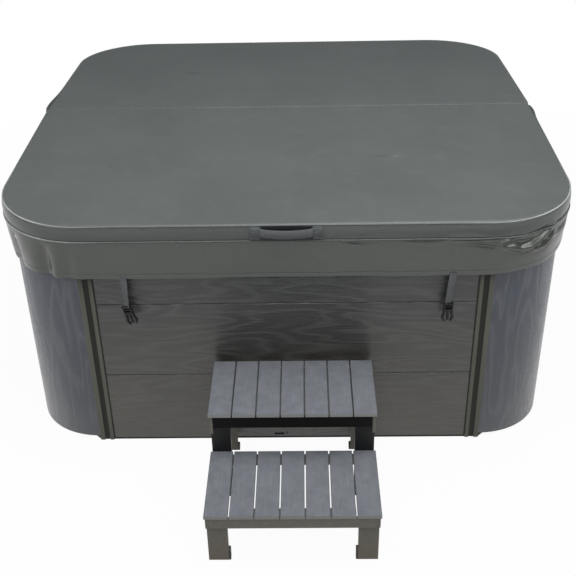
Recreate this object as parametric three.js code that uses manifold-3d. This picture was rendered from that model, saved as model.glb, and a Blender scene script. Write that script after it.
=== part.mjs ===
// Square hot tub with a folding cover, a panelled cabinet and a matching set of steps.
// Millimetres, +Z up. The origin is on the floor under the middle of the cabinet, and the
// front, with the steps, faces -Y.
import * as THREE from 'three';
import { mergeVertices } from 'three/addons/utils/BufferGeometryUtils.js';
import Module from 'manifold-3d';

const wasm = await Module();
wasm.setup();

// Driving sizes of the whole tub
const cabinetWidth = 2024;
const cabinetDepth = 2076;
const tubHeight = 895;
const cornerRadius = 266;
const seat = 0.3; // gap between pieces that rest on each other
const weldDistance = 1e-4; // points closer than this are one
const overrun = 20; // how far a cutting shape runs past what it cuts
const roundSteps = 5; // steps of a large round corner
const smallRoundSteps = 3;

// Cabinet panels, corner panels and trims
const panelThickness = 8;
const panelBottom = 9;
const panelTopGap = 8; // from the panel's top edge to the underside of the rim
const boardHeight = 312;
const boardGrooveWidth = 5;
const boardGrooveDepth = 3;
const cornerBottom = 12;
const cornerTab = 5; // straight edge of a corner panel, beside its round part
const trimBottom = 2;
const trimWidth = 49;
const trimCornerRidge = 15;
const trimPanelRidge = 15;
const trimRidgeHeight = 6;
const trimEdgeRound = 2;
const trimLip = 4; // how far the trim laps over each panel's edge
const trimLipThickness = 1.6;
const trimFlange = 12; // how far the trim reaches behind the flat panel
const trimCornerFlange = 7; // how far it reaches behind the corner panel
const trimFlangeThickness = 3;

// Base tray and welded frame
const trayFloor = 5;
const trayWall = 4;
const trayHeight = 42;
const trayFootInset = 1.5; // edge of the tray's foot from the cabinet's face
const frameTube = 38;
const frameMidShare = 0.525; // the middle rail's underside, of the tub's height

// Acrylic shell
const shellWall = 7;
const rimOverhang = 14; // past the cabinet's face
const rimSkirtHeight = 42;
const rimWidth = 86;
const ledgeDepth = 28;
const ledgeWidth = 120;
const ledgeDraft = 3;
const basinDepth = 267; // from the ledge to the arms between the seats
const basinSlope = 45; // how far the upper wall leans in from the ledge to the arms
const basinRadius = 180;
const footwellFloor = 130;
const seatRadius = 110;
const seatDraftShare = 0.16; // lean of a pocket's walls, per unit of height
const floorRound = 40; // round between a pocket's wall and its floor
const jetRadius = 27;
const jetProud = 5;
const jetBody = 34; // length of a jet's body behind the shell
const jetSides = 10;
const suctionSides = 14;
const jetRowRise = 72; // from the arms to the middle of the jets
const suctionRadius = 62;
const suctionProud = 16;
const suctionRise = 85; // from the footwell's floor to the middle of the suction cover

// Heights of the seats, as shares of the way from the footwell's floor up to the arms
const cornerSeatShare = 0.575;
const middleSeatShare = 0.66;
const rearSeatShare = 0.617;
const entrySeatShare = 0.83;
const loungerFootShare = 0.436;
const loungerKneeShare = 0.69;
const loungerSeatShare = 0.425;
const loungerSteps = 18;

// Filter niche and its grille
const nicheWidth = 200;
const nicheHeight = 110;
const nicheDepth = 95;
const nicheDrop = 77; // from the ledge to the niche's top
const grilleBorder = 20;
const grilleThickness = 9;
const grilleSlots = 6;
const grilleSlotShare = 0.55; // open part of each slot's pitch

// Fittings on the ledge
const displayLength = 190;
const displayWidth = 76;
const displayHeight = 9;
const displayRound = 20;
const displayGlassBorder = 9;
const displayGlassDepth = 1.5;
const diverterRadius = 40;
const diverterHeight = 22;
const diverterGrip = 13;
const airKnobRadius = 24;
const airKnobHeight = 18;
const knobDishDepth = 5;
const knobFlutes = 8;
const fluteSteps = 6; // steps round each flute
const knobSides = 28;
const diverterShare = 0.36; // places along the ledge, of the basin's half depth
const airKnobShare = -0.3;

// Head pillows
const pillowWidth = 270;
const pillowHeight = 104;
const pillowDepth = 44;
const pillowDrop = 23; // from the ledge to the pad's top
const pillowSteps = 24; // points round the pad
const pillowLevels = 6;
const pillowCrownPower = 2.6; // fullness of the crown
const pillowSquareness = 0.45; // 1 is an ellipse, and less is squarer
const pillowTopShare = 0.05; // flat top, of the pad's size

// Pump, control box and plumbing in the front of the cabinet
const motorRadius = 82;
const motorLength = 260;
const motorCapLength = 26;
const motorFinCount = 6;
const motorFinDepth = 5;
const motorNeckShare = 0.72; // end face, of the motor's radius
const voluteRadius = 104;
const voluteLength = 70;
const pumpSides = 20;
const pumpFootWidth = 150;
const pumpFootThickness = 8;
const pumpAxisHeight = 122;
const pipeRadius = 30;
const pipeBend = 90;
const pipeSteps = 28; // sections along the pipe
const pipeSides = 6; // quarter round
const inletShare = 1.4; // pump's inlet collar, of the pipe's radius
const controlBoxLength = 330;
const controlBoxHeight = 240;
const controlBoxDepth = 110;
const controlBoxBottom = 130;
const controlBoxLid = 18;
const heaterRadius = 38;
const heaterSides = 16;
const pumpShare = -0.55; // motor's far end, of the cabinet's half width
const controlBoxShare = 0.2; // the box's left end, of the cabinet's half width

// Cover: two tapered foam halves in a vinyl jacket, with a skirt all round
const coverOverhang = 33; // past the cabinet's face
const coverCornerRadius = 340;
const coverEdgeThickness = 65;
const coverRidgeThickness = 95;
const coverHingeGap = 5;
const skirtDrop = 145;
const skirtThickness = 3;
const skirtFlare = 4; // how far the hem hangs out past the top of the skirt
const skirtOverlap = 7; // sewn part above the edge of the foam
const foldDepth = 11; // depth of the hanging folds at the corners
const foldCount = 4; // folds round each corner
const foldReach = 130; // how far the folds run on past the corner
const foldSteps = 6; // steps of each fold
const coverCornerSteps = 8;

// Webbing handle and lock straps
const fittingsOffset = 8; // the handle and straps are sewn a little right of the middle
const handleLength = 250;
const handleOpening = 176;
const handleWebbing = 32;
const handleThickness = 3;
const handleBow = 19;
const handleBowSteps = 12;
const handleBowPower = 0.6; // 1 is a plain arch, and less is flatter in the middle
const handleHeightShare = 0.56; // centre of the handle on the cover's edge
const strapSpacing = 1164; // between the two straps of one half
const strapWidth = 25;
const strapThickness = 2;
const strapDrop = 110; // webbing below the hem
const strapHidden = 16; // webbing above the hinge line, behind the skirt
const strapHingeDrop = 3; // hinge line below the hem
const strapPlay = 0.8; // from the strap's face to the inside of the skirt
const strapLeanRight = 4.5; // degrees, how far the front right strap hangs askew
const clipWidth = 36;
const clipBody = 30;
const clipProng = 44;
const clipThickness = 9;
const clipProngWidth = 7;
const clipHook = 5;
const clipSocket = 14; // how deep the webbing enters the clip
const clipChamfer = 5;

// Steps
const stepsOffset = 22; // the steps stand a little right of the middle
const stepsGap = 26; // from the cabinet's face to the upper tread
const stepsWidth = 586;
const slatCount = 7;
const slatGap = 4.5;
const slatThickness = 14;
const slatEdgeRound = 2;
const lowerTreadTop = 212.5;
const lowerTreadDepth = 327;
const upperTreadTop = 388;
const upperTreadDepth = 320;
const treadOverhang = 3.5; // slats past the front apron
const apronThickness = 10;
const apronHeight = 43;
const upperApronHeight = 47;
const apronInset = 4; // side apron's face from the end of the tread
const sideApronThickness = 11;
const upperSideApronHeight = 72;
const legInset = 6.5; // leg's outer face from the end of the tread
const legWidth = 68;
const legThickness = 22;
const rearLegInset = 25; // rear leg's back face from the back of the upper tread
const footWidth = 7;
const footHeight = 45;
const rearFootHeight = 24;

// Places that follow from the driving sizes
const halfWidth = cabinetWidth / 2;
const halfDepth = cabinetDepth / 2;
const flatHalfWidth = halfWidth - cornerRadius - cornerTab; // to the corner panel's edge
const flatHalfDepth = halfDepth - cornerRadius - cornerTab;
const rimUnderside = tubHeight - shellWall;
const panelTop = rimUnderside - panelTopGap;
const trayInset = panelThickness + seat + trimFlangeThickness + seat;
const frameInset = trayInset + trayWall + seat;
const rimInset = rimWidth - rimOverhang; // inner edge of the rim from the cabinet's face
const ledgeHeight = tubHeight - ledgeDepth;
const armTop = ledgeHeight - basinDepth;
const jetRowHeight = armTop + jetRowRise;
const nicheCentreHeight = ledgeHeight - nicheDrop - nicheHeight / 2;
const pillowCentreHeight = ledgeHeight - pillowDrop - pillowHeight / 2;
const basinTopX = halfWidth - rimInset - ledgeWidth;
const basinTopY = halfDepth - rimInset - ledgeWidth;
const basinX = basinTopX - basinSlope;
const basinY = basinTopY - basinSlope;
const coverBottom = tubHeight + seat;
const coverX = halfWidth + coverOverhang;
const coverY = halfDepth + coverOverhang;
const hemHeight = coverBottom - skirtDrop;
const hingeHeight = coverBottom + coverRidgeThickness;

// Finishes
const finish = (color, roughness, metalness = 0) =>
  new THREE.MeshStandardMaterial({ color, roughness, metalness });
const vinyl = finish(0x686d6d, 0.5);
const webbing = finish(0x5f6466, 0.8);
const clipPlastic = finish(0x141416, 0.35);
const boardFinish = finish(0x55534e, 0.55);
const cornerFinish = finish(0x50525c, 0.5);
const trimFinish = finish(0x5f6058, 0.45);
const slatFinish = finish(0x787a82, 0.6);
const stepFrameFinish = finish(0x69665f, 0.6);
const darkStepFinish = finish(0x1b1b1c, 0.6);
const acrylic = finish(0xd9dde0, 0.15);
const pillowFoam = finish(0x3a3d42, 0.7);
const trayPlastic = finish(0x26282a, 0.6);
const frameSteel = finish(0x8f9396, 0.4, 0.8);
const fittingPlastic = finish(0x8b9096, 0.3, 0.2);
const pumpPaint = finish(0x2c2e33, 0.45, 0.2);
const pipePlastic = finish(0xe6e6e2, 0.4);

const model = new THREE.Group();

function addMesh(name, geometry, material, place = [0, 0, 0], turn = 0) {
  const mesh = new THREE.Mesh(geometry, material);
  mesh.name = name;
  mesh.position.set(...place);
  mesh.rotation.z = turn;
  model.add(mesh);
  return mesh;
}

// Solids for cutting and joining
function toSolid(geometry) {
  let bare = geometry.clone();
  bare.deleteAttribute('normal');
  bare.deleteAttribute('uv');
  bare = mergeVertices(bare, weldDistance);
  const vertProperties = Float32Array.from(bare.attributes.position.array);
  const triVerts = Uint32Array.from(bare.index.array);
  return new wasm.Manifold(new wasm.Mesh({ numProp: 3, vertProperties, triVerts }));
}

function toGeometry(solid) {
  const result = solid.getMesh();
  const geometry = new THREE.BufferGeometry();
  geometry.setAttribute('position', new THREE.BufferAttribute(result.vertProperties, 3));
  geometry.setIndex(new THREE.BufferAttribute(result.triVerts, 1));
  return geometry;
}

function join(geometries) {
  return geometries.map(toSolid).reduce((whole, next) => whole.add(next));
}

// Basic shapes
function box(x0, x1, y0, y1, z0, z1) {
  const geometry = new THREE.BoxGeometry(x1 - x0, y1 - y0, z1 - z0);
  return geometry.translate((x0 + x1) / 2, (y0 + y1) / 2, (z0 + z1) / 2);
}

function roundedRectangle(halfX, halfY, radius) {
  const shape = new THREE.Shape();
  shape.absarc(halfX - radius, halfY - radius, radius, 0, Math.PI / 2);
  shape.absarc(radius - halfX, halfY - radius, radius, Math.PI / 2, Math.PI);
  shape.absarc(radius - halfX, radius - halfY, radius, Math.PI, Math.PI * 1.5);
  shape.absarc(halfX - radius, radius - halfY, radius, Math.PI * 1.5, Math.PI * 2);
  shape.closePath();
  return shape;
}

function raise(shape, z0, z1, curveSegments = roundSteps) {
  const depth = z1 - z0;
  const geometry = new THREE.ExtrudeGeometry(shape, { depth, curveSegments, bevelEnabled: false });
  return geometry.translate(0, 0, z0);
}

// A closed solid through rings of points that all have the same count, bottom ring first
function loftRings(rings) {
  const count = rings[0].length;
  const position = rings.flat().flatMap((point) => [point.x, point.y, point.z]);
  const index = [];
  for (let level = 0; level < rings.length - 1; level += 1) {
    for (let i = 0; i < count; i += 1) {
      const a = level * count + i;
      const b = level * count + ((i + 1) % count);
      index.push(a, b, b + count, a, b + count, a + count);
    }
  }
  const flatRing = rings[0].map((point) => new THREE.Vector2(point.x, point.y));
  const lastLevel = (rings.length - 1) * count;
  for (const [a, b, c] of THREE.ShapeUtils.triangulateShape(flatRing, [])) {
    index.push(a, c, b);
    index.push(lastLevel + a, lastLevel + b, lastLevel + c);
  }
  const geometry = new THREE.BufferGeometry();
  geometry.setAttribute('position', new THREE.Float32BufferAttribute(position, 3));
  geometry.setIndex(index);
  return geometry;
}

// A level ring round a rectangle with round corners
function rectangleRing(x0, x1, y0, y1, radius, z, cornerSteps = roundSteps) {
  const ring = [];
  const corners = [[x1, y1, 1, 1], [x0, y1, -1, 1], [x0, y0, -1, -1], [x1, y0, 1, -1]];
  corners.forEach(([x, y, signX, signY], corner) => {
    for (let step = 0; step <= cornerSteps; step += 1) {
      const angle = (corner + step / cornerSteps) * Math.PI / 2;
      const px = x - signX * radius + radius * Math.cos(angle);
      const py = y - signY * radius + radius * Math.sin(angle);
      ring.push(new THREE.Vector3(px, py, z));
    }
  });
  return ring;
}

// A pocket with leaning walls and a rounded floor, grown all round by a wall
function pocket(area, floor, top, draftShare, round, grow) {
  const { x0, x1, y0, y1, radius } = area;
  const ringAt = (z, inset) => {
    const lean = inset + (top - z) * draftShare - grow;
    return rectangleRing(x0 + lean, x1 - lean, y0 + lean, y1 - lean, radius - inset + grow, z - grow);
  };
  return loftRings([ringAt(floor, round), ringAt(floor + round, 0), ringAt(top + overrun, 0)]);
}

// A cylinder whose axis runs along a direction, from one point
function rod(radius, from, direction, length, sides, farRadius = radius) {
  const geometry = new THREE.CylinderGeometry(farRadius, radius, length, sides);
  geometry.translate(0, length / 2, 0);
  const turn = new THREE.Quaternion().setFromUnitVectors(
    new THREE.Vector3(0, 1, 0), direction.clone().normalize());
  return geometry.applyQuaternion(turn).translate(from.x, from.y, from.z);
}

// Base tray, with a low foot that runs out under the panels
function makeTray() {
  const outline = (inset) => roundedRectangle(
    halfWidth - inset, halfDepth - inset, cornerRadius - inset);
  const wall = raise(outline(trayInset), 0, trayHeight);
  const foot = raise(outline(trayFootInset), 0, panelBottom - seat);
  const inside = raise(outline(trayInset + trayWall), trayFloor, trayHeight + overrun);
  const cuts = join([inside, ...trimSlots()]);
  addMesh('base_tray', toGeometry(join([wall, foot]).subtract(cuts)), trayPlastic);
}

// Slots in the tray's foot for the trims, which reach lower than the panels
function trimSlots() {
  const bottom = trimBottom - seat;
  const top = panelBottom + overrun;
  const along = (flatHalf, sign) => [
    sign * (flatHalf - trimWidth - trimFlange - seat), sign * (flatHalf + trimCornerFlange + seat),
  ].sort((a, b) => a - b);
  const across = (half, sign) => [
    sign * (half - trayInset), sign * (half + overrun)].sort((a, b) => a - b);
  const slots = [];
  for (const side of [-1, 1]) {
    for (const end of [-1, 1]) {
      slots.push(box(...along(flatHalfWidth, side), ...across(halfDepth, end), bottom, top));
      slots.push(box(...across(halfWidth, side), ...along(flatHalfDepth, end), bottom, top));
    }
  }
  return slots;
}

// Welded frame: eight posts behind the trims, rails along the four sides at three heights,
// and slanting rails across the corners at the lower two, clear of the shell's ledge
function makeFrame() {
  const outerX = halfWidth - frameInset;
  const outerY = halfDepth - frameInset;
  const bottom = trayFloor + seat;
  const top = rimUnderside - seat;
  const railBottoms = [bottom, frameMidShare * tubHeight, top - frameTube];
  const postX = flatHalfWidth - trimWidth / 2;
  const postY = flatHalfDepth - trimWidth / 2;
  const pieces = [];
  for (const side of [-1, 1]) {
    for (const end of [-1, 1]) {
      const x = side * postX;
      const y = end * (outerY - frameTube / 2);
      pieces.push(tubeBox(x, y, frameTube, bottom, top));
      pieces.push(tubeBox(side * (outerX - frameTube / 2), end * postY, frameTube, bottom, top));
    }
  }
  for (const z of railBottoms) {
    pieces.push(...frameRing(outerX, outerY, postX, postY, z));
  }
  for (const z of railBottoms.slice(0, 2)) {
    pieces.push(...cornerRails(outerX, outerY, postX, postY, z));
  }
  addMesh('frame', toGeometry(join(pieces)), frameSteel);
}

function tubeBox(x, y, width, z0, z1) {
  const half = width / 2;
  return box(x - half, x + half, y - half, y + half, z0, z1);
}

// The straight rails of one height
function frameRing(outerX, outerY, postX, postY, z) {
  const pieces = [];
  const innerX = outerX - frameTube;
  const innerY = outerY - frameTube;
  for (const side of [-1, 1]) {
    const low = side > 0 ? 1 : 0;
    const xs = [side * outerX, side * innerX];
    const ys = [side * outerY, side * innerY];
    pieces.push(box(-postX, postX, ys[low], ys[1 - low], z, z + frameTube));
    pieces.push(box(xs[low], xs[1 - low], -postY, postY, z, z + frameTube));
  }
  return pieces;
}

// The slanting rails of one height
function cornerRails(outerX, outerY, postX, postY, z) {
  const pieces = [];
  for (const side of [-1, 1]) {
    for (const end of [-1, 1]) {
      const from = new THREE.Vector2(side * postX, end * (outerY - frameTube / 2));
      const to = new THREE.Vector2(side * (outerX - frameTube / 2), end * postY);
      pieces.push(slantingRail(from, to, z));
    }
  }
  return pieces;
}

function slantingRail(from, to, z) {
  const length = from.distanceTo(to);
  const rail = box(0, length, -frameTube / 2, frameTube / 2, z, z + frameTube);
  rail.rotateZ(to.clone().sub(from).angle());
  return rail.translate(from.x, from.y, 0);
}

// Cabinet panels: horizontal boards with a groove between them
function boardOutline(height) {
  const shape = new THREE.Shape();
  const half = boardGrooveWidth / 2;
  shape.moveTo(-panelThickness, panelBottom);
  shape.lineTo(0, panelBottom);
  for (let seam = boardHeight; seam < height - boardGrooveWidth; seam += boardHeight) {
    shape.lineTo(0, seam - half);
    shape.lineTo(-boardGrooveDepth, seam);
    shape.lineTo(0, seam + half);
  }
  shape.lineTo(0, height);
  shape.lineTo(-panelThickness, height);
  return shape;
}

// The outline stands in the plane across the panel, and is pulled along the panel's width
function boardPanel(width) {
  const geometry = new THREE.ExtrudeGeometry(boardOutline(panelTop), {
    depth: width, bevelEnabled: false });
  geometry.rotateX(Math.PI / 2);
  geometry.rotateZ(-Math.PI / 2);
  return geometry.translate(width / 2, 0, 0);
}

function makePanels() {
  const flatWidth = 2 * (flatHalfWidth - trimWidth - seat);
  const flatDepth = 2 * (flatHalfDepth - trimWidth - seat);
  addMesh('front_panel', boardPanel(flatWidth), boardFinish, [0, -halfDepth, 0], 0);
  addMesh('right_panel', boardPanel(flatDepth), boardFinish, [halfWidth, 0, 0], Math.PI / 2);
  addMesh('rear_panel', boardPanel(flatWidth), boardFinish, [0, halfDepth, 0], Math.PI);
  addMesh('left_panel', boardPanel(flatDepth), boardFinish, [-halfWidth, 0, 0], -Math.PI / 2);
}

// The four corners, in order round the tub, each with its name and the signs of its x and y
const cornerPlaces = [
  ['rear_right', 1, 1],
  ['rear_left', -1, 1],
  ['front_left', -1, -1],
  ['front_right', 1, -1],
];

function makeCornerPanels() {
  const inner = cornerRadius - panelThickness;
  const tab = cornerTab - seat;
  const shape = new THREE.Shape();
  shape.moveTo(cornerRadius, -tab);
  shape.lineTo(cornerRadius, 0);
  shape.absarc(0, 0, cornerRadius, 0, Math.PI / 2);
  shape.lineTo(-tab, cornerRadius);
  shape.lineTo(-tab, inner);
  shape.lineTo(0, inner);
  shape.absarc(0, 0, inner, Math.PI / 2, 0, true);
  shape.lineTo(inner, -tab);
  cornerPlaces.forEach(([name, signX, signY], quarter) => {
    const geometry = raise(shape, cornerBottom, panelTop, 6);
    const centreX = signX * (halfWidth - cornerRadius);
    const place = [centreX, signY * (halfDepth - cornerRadius), 0];
    addMesh(`corner_panel_${name}`, geometry, cornerFinish, place, quarter * Math.PI / 2);
  });
}

// Trim section. u runs along the cabinet's face from the corner panel's edge to the flat
// panel's edge, and v runs out of the face. Two round ridges stand beside a flat groove.
function trimOutline(mirror) {
  const back = -(panelThickness + seat);
  const round = trimEdgeRound;
  const ridges = [
    [-trimLip, trimCornerRidge],
    [trimWidth - trimPanelRidge, trimWidth],
  ];
  const points = [
    [-trimCornerFlange, back - trimFlangeThickness],
    [-trimCornerFlange, back],
    [0, back],
    [0, seat],
    [-trimLip, seat],
  ];
  for (const [start, end] of ridges) {
    points.push([start, trimLipThickness], [start, trimRidgeHeight - round]);
    points.push([start + round, trimRidgeHeight], [end - round, trimRidgeHeight]);
    points.push([end, trimRidgeHeight - round], [end, trimLipThickness]);
  }
  points.push([trimWidth + trimLip, trimLipThickness], [trimWidth + trimLip, seat]);
  points.push([trimWidth, seat], [trimWidth, back], [trimWidth + trimFlange, back]);
  points.push([trimWidth + trimFlange, back - trimFlangeThickness]);
  return new THREE.Shape(points.map(([u, v]) => new THREE.Vector2(mirror * u, -v)));
}

function makeTrims() {
  const sides = [
    ['front', [0, -halfDepth, 0], 0, flatHalfWidth],
    ['right', [halfWidth, 0, 0], Math.PI / 2, flatHalfDepth],
    ['rear', [0, halfDepth, 0], Math.PI, flatHalfWidth],
    ['left', [-halfWidth, 0, 0], -Math.PI / 2, flatHalfDepth],
  ];
  for (const [name, place, turn, flatHalf] of sides) {
    for (const [end, sign] of [['a', -1], ['b', 1]]) {
      const geometry = raise(trimOutline(-sign), trimBottom, panelTop);
      geometry.translate(sign * flatHalf, 0, 0);
      addMesh(`trim_${name}_${end}`, geometry, trimFinish, place, turn);
    }
  }
}

// Seats of the shell, as shares of the basin's half width and half depth at the arms
const seatShares = {
  footwell: { x: [-0.3, 0.545], y: [-0.535, 0.535] },
  rearSeat: { x: [-0.27, 0.33], y: [0.485, 1] },
  rearCorner: { x: [0.39, 1], y: [0.36, 1] },
  middleSeat: { x: [0.495, 1], y: [-0.25, 0.27] },
  frontCorner: { x: [0.39, 1], y: [-1, -0.34] },
  entrySeat: { x: [-0.27, 0.33], y: [-1, -0.485] },
};

// Height that is a share of the way from the footwell's floor up to the arms
function seatHeight(share) {
  return footwellFloor + share * (armTop - footwellFloor);
}

const seatFloors = {
  footwell: footwellFloor,
  rearSeat: seatHeight(rearSeatShare),
  rearCorner: seatHeight(cornerSeatShare),
  middleSeat: seatHeight(middleSeatShare),
  frontCorner: seatHeight(cornerSeatShare),
  entrySeat: seatHeight(entrySeatShare),
};

function seatArea(name) {
  const { x, y } = seatShares[name];
  return { x0: x[0] * basinX, x1: x[1] * basinX, y0: y[0] * basinY, y1: y[1] * basinY, radius: seatRadius };
}

// Side outline of the lounger, from the foot end (-Y) to the head end, as shares of the
// basin's half depth, with the height of each point
const loungerPlaceShares = [-1, -0.95, -0.5, -0.15, 0.15, 0.42, 0.62, 1];
const loungerHeights = [
  armTop,
  seatHeight(loungerFootShare) + floorRound,
  seatHeight(loungerFootShare),
  seatHeight(loungerKneeShare),
  seatHeight(loungerSeatShare) + floorRound,
  seatHeight(loungerSeatShare),
  seatHeight(loungerSeatShare) + floorRound,
  armTop,
];
const loungerInnerShare = -0.245; // inner edge, as a share of the basin's half width

function loungerPocket(grow) {
  const places = loungerPlaceShares.map(
    (share, i) => new THREE.Vector3(share * basinY, loungerHeights[i], 0));
  const curve = new THREE.CatmullRomCurve3(places, false, 'centripetal');
  const floorLine = curve.getPoints(loungerSteps);
  const grown = floorLine.map((point, i) => {
    const before = floorLine[Math.max(i - 1, 0)];
    const after = floorLine[Math.min(i + 1, floorLine.length - 1)];
    const along = after.clone().sub(before).normalize();
    return new THREE.Vector2(point.x + along.y * grow, point.y - along.x * grow);
  });
  const top = armTop + overrun;
  const first = grown[0];
  const last = grown[grown.length - 1];
  const shape = new THREE.Shape([
    new THREE.Vector2(first.x, top), ...grown, new THREE.Vector2(last.x, top)]);
  const width = basinX * (1 + loungerInnerShare) + 2 * grow;
  const geometry = new THREE.ExtrudeGeometry(shape, { depth: width, bevelEnabled: false });
  geometry.rotateX(Math.PI / 2);
  geometry.rotateZ(Math.PI / 2);
  return geometry.translate(-basinX - grow, 0, 0);
}

// Half width of the upper basin at a height, along x or y
function basinWall(halfAtLedge, z) {
  return halfAtLedge - basinSlope * (ledgeHeight - z) / (ledgeHeight - armTop);
}

// Jets: each row is a wall, given by its outward direction and the half size of the basin
// there, and the places along the wall as shares of the basin's other half size
const jetShares = {
  rear: [-0.78, -0.62, -0.46, -0.06, 0.12, 0.46, 0.6, 0.74],
  front: [0.46, 0.6, 0.74],
  right: [-0.72, -0.56, -0.08, 0.1, 0.5, 0.66],
  left: [-0.5, -0.34, -0.18],
};

function jetRow(direction, halfAtLedge, shares, halfAlong, z) {
  const out = new THREE.Vector3(...direction);
  const along = new THREE.Vector3(-direction[1], direction[0], 0);
  const slope = basinSlope / (ledgeHeight - armTop);
  const axis = out.clone().add(new THREE.Vector3(0, 0, -slope));
  return shares.map((share) => {
    const at = out.clone().multiplyScalar(basinWall(halfAtLedge, z) - jetProud);
    at.addScaledVector(along, -share * halfAlong * Math.sign(direction[1] - direction[0]));
    at.z = z;
    return rod(jetRadius, at, axis, jetProud + shellWall + jetBody, jetSides);
  });
}

function makeShell() {
  const rimX = halfWidth + rimOverhang;
  const rimY = halfDepth + rimOverhang;
  const rimRadius = cornerRadius + rimOverhang;
  const rimBottom = tubHeight - rimSkirtHeight;
  const rimBlock = raise(roundedRectangle(rimX, rimY, rimRadius), rimBottom, tubHeight);
  const rimHollow = raise(
    roundedRectangle(rimX - shellWall, rimY - shellWall, rimRadius - shellWall),
    rimBottom - overrun, rimUnderside);
  const ledgeArea = {
    x0: rimInset - halfWidth,
    x1: halfWidth - rimInset,
    y0: rimInset - halfDepth,
    y1: halfDepth - rimInset,
    radius: cornerRadius - rimInset,
  };
  const basinArea = {
    x0: -basinTopX, x1: basinTopX, y0: -basinTopY, y1: basinTopY, radius: basinRadius };
  const basinDraftShare = basinSlope / (ledgeHeight - armTop);
  const formPockets = (grow) => {
    const ledgeDraftShare = ledgeDraft / ledgeDepth;
    const pockets = [
      pocket(ledgeArea, ledgeHeight, tubHeight, ledgeDraftShare, ledgeDraft, grow),
      pocket(basinArea, armTop, ledgeHeight, basinDraftShare, floorRound / 2, grow),
      loungerPocket(grow),
    ];
    for (const name of Object.keys(seatShares)) {
      const area = seatArea(name);
      pockets.push(pocket(area, seatFloors[name], armTop, seatDraftShare, floorRound, grow));
    }
    pockets.push(nichePocket(grow));
    return join(pockets);
  };
  const rimTrim = raise(
    roundedRectangle(rimX + overrun, rimY + overrun, rimRadius + overrun),
    rimUnderside + shellWall / 2, tubHeight + cabinetWidth);
  const jets = join([
    ...jetRow([0, 1, 0], basinTopY, jetShares.rear, basinX, jetRowHeight),
    ...jetRow([0, -1, 0], basinTopY, jetShares.front, basinX, jetRowHeight),
    ...jetRow([1, 0, 0], basinTopX, jetShares.right, basinY, jetRowHeight),
    ...jetRow([-1, 0, 0], basinTopX, jetShares.left, basinY, jetRowHeight),
  ]);
  const forms = formPockets(shellWall).subtract(toSolid(rimTrim));
  const shell = toSolid(rimBlock)
    .subtract(toSolid(rimHollow))
    .add(forms)
    .subtract(formPockets(0))
    .add(jets)
    .add(toSolid(suctionDome()));
  addMesh('tub_shell', toGeometry(shell), acrylic);
}

// Suction cover on the footwell's front wall
function suctionPlace() {
  const area = seatArea('footwell');
  const suctionHeight = footwellFloor + suctionRise;
  const lean = (armTop - suctionHeight) * seatDraftShare;
  return new THREE.Vector3((area.x0 + area.x1) / 2, area.y0 + lean, suctionHeight);
}

function suctionDome() {
  const at = suctionPlace();
  const inward = new THREE.Vector3(0, 1, seatDraftShare);
  const start = at.clone().addScaledVector(inward, -shellWall);
  return rod(suctionRadius, start, inward, shellWall + suctionProud, suctionSides,
    suctionRadius - suctionProud);
}

// Filter niche in the front wall above the lounger's foot end, clear of the round corner
const nicheCentreX = basinRadius + nicheWidth / 2 + grilleBorder - basinX;

function nichePocket(grow) {
  const x = nicheCentreX;
  const face = basinWall(basinTopY, nicheCentreHeight);
  return box(
    x - nicheWidth / 2 - grow, x + nicheWidth / 2 + grow,
    -face - nicheDepth - grow, -face + grow / 2,
    nicheCentreHeight - nicheHeight / 2 - grow, nicheCentreHeight + nicheHeight / 2 + grow);
}

// Grille plate: a border round level slots, leaning on the basin's wall
function makeGrille() {
  const halfX = nicheWidth / 2 + grilleBorder;
  const halfY = nicheHeight / 2 + grilleBorder;
  const plate = roundedRectangle(halfX, halfY, grilleBorder / 2);
  const pitch = nicheHeight / grilleSlots;
  const slotHalf = pitch * grilleSlotShare / 2;
  for (let slot = 0; slot < grilleSlots; slot += 1) {
    const y = -nicheHeight / 2 + (slot + 0.5) * pitch;
    const hole = new THREE.Path();
    hole.moveTo(-nicheWidth / 2 + pitch, y - slotHalf);
    hole.lineTo(-nicheWidth / 2 + pitch, y + slotHalf);
    hole.lineTo(nicheWidth / 2 - pitch, y + slotHalf);
    hole.lineTo(nicheWidth / 2 - pitch, y - slotHalf);
    hole.closePath();
    plate.holes.push(hole);
  }
  const geometry = raise(plate, seat, seat + grilleThickness, 3);
  leanOnWall(geometry, -1, nicheCentreX, nicheCentreHeight);
  addMesh('filter_grille', geometry, fittingPlastic);
}

// Turns a piece drawn face up, with its back on z = 0, to stand on the basin's front or
// rear wall. The piece's own x becomes the place along the wall.
function leanOnWall(geometry, side, x, z) {
  const slope = Math.atan2(basinSlope, ledgeHeight - armTop);
  geometry.rotateX(Math.PI / 2 - slope);
  if (side < 0) {
    geometry.rotateZ(Math.PI);
  }
  return geometry.translate(x, side * basinWall(basinTopY, z), z);
}

// Head pillows: a crowned pad with a flat back
function pillowForm() {
  const squared = (value) => Math.sign(value) * Math.abs(value) ** pillowSquareness;
  const rings = [];
  for (let level = 0; level <= pillowLevels; level += 1) {
    const across = Math.cos((level / pillowLevels) * Math.PI / 2);
    const rise = pillowDepth * (1 - across) ** (1 / pillowCrownPower);
    const spread = Math.max(across, pillowTopShare);
    const ring = [];
    for (let i = 0; i < pillowSteps; i += 1) {
      const angle = (i / pillowSteps) * Math.PI * 2;
      const px = squared(Math.cos(angle)) * pillowWidth / 2;
      const py = squared(Math.sin(angle)) * pillowHeight / 2;
      ring.push(new THREE.Vector3(px * spread, py * spread, rise));
    }
    rings.push(ring);
  }
  return loftRings(rings);
}

// Each pillow with its side of the middle, and the wall it lies on, rear or front
const pillowPlaces = [
  ['pillow_lounger', -1, 1],
  ['pillow_rear_corner', 1, 1],
  ['pillow_front_corner', 1, -1],
];

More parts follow.
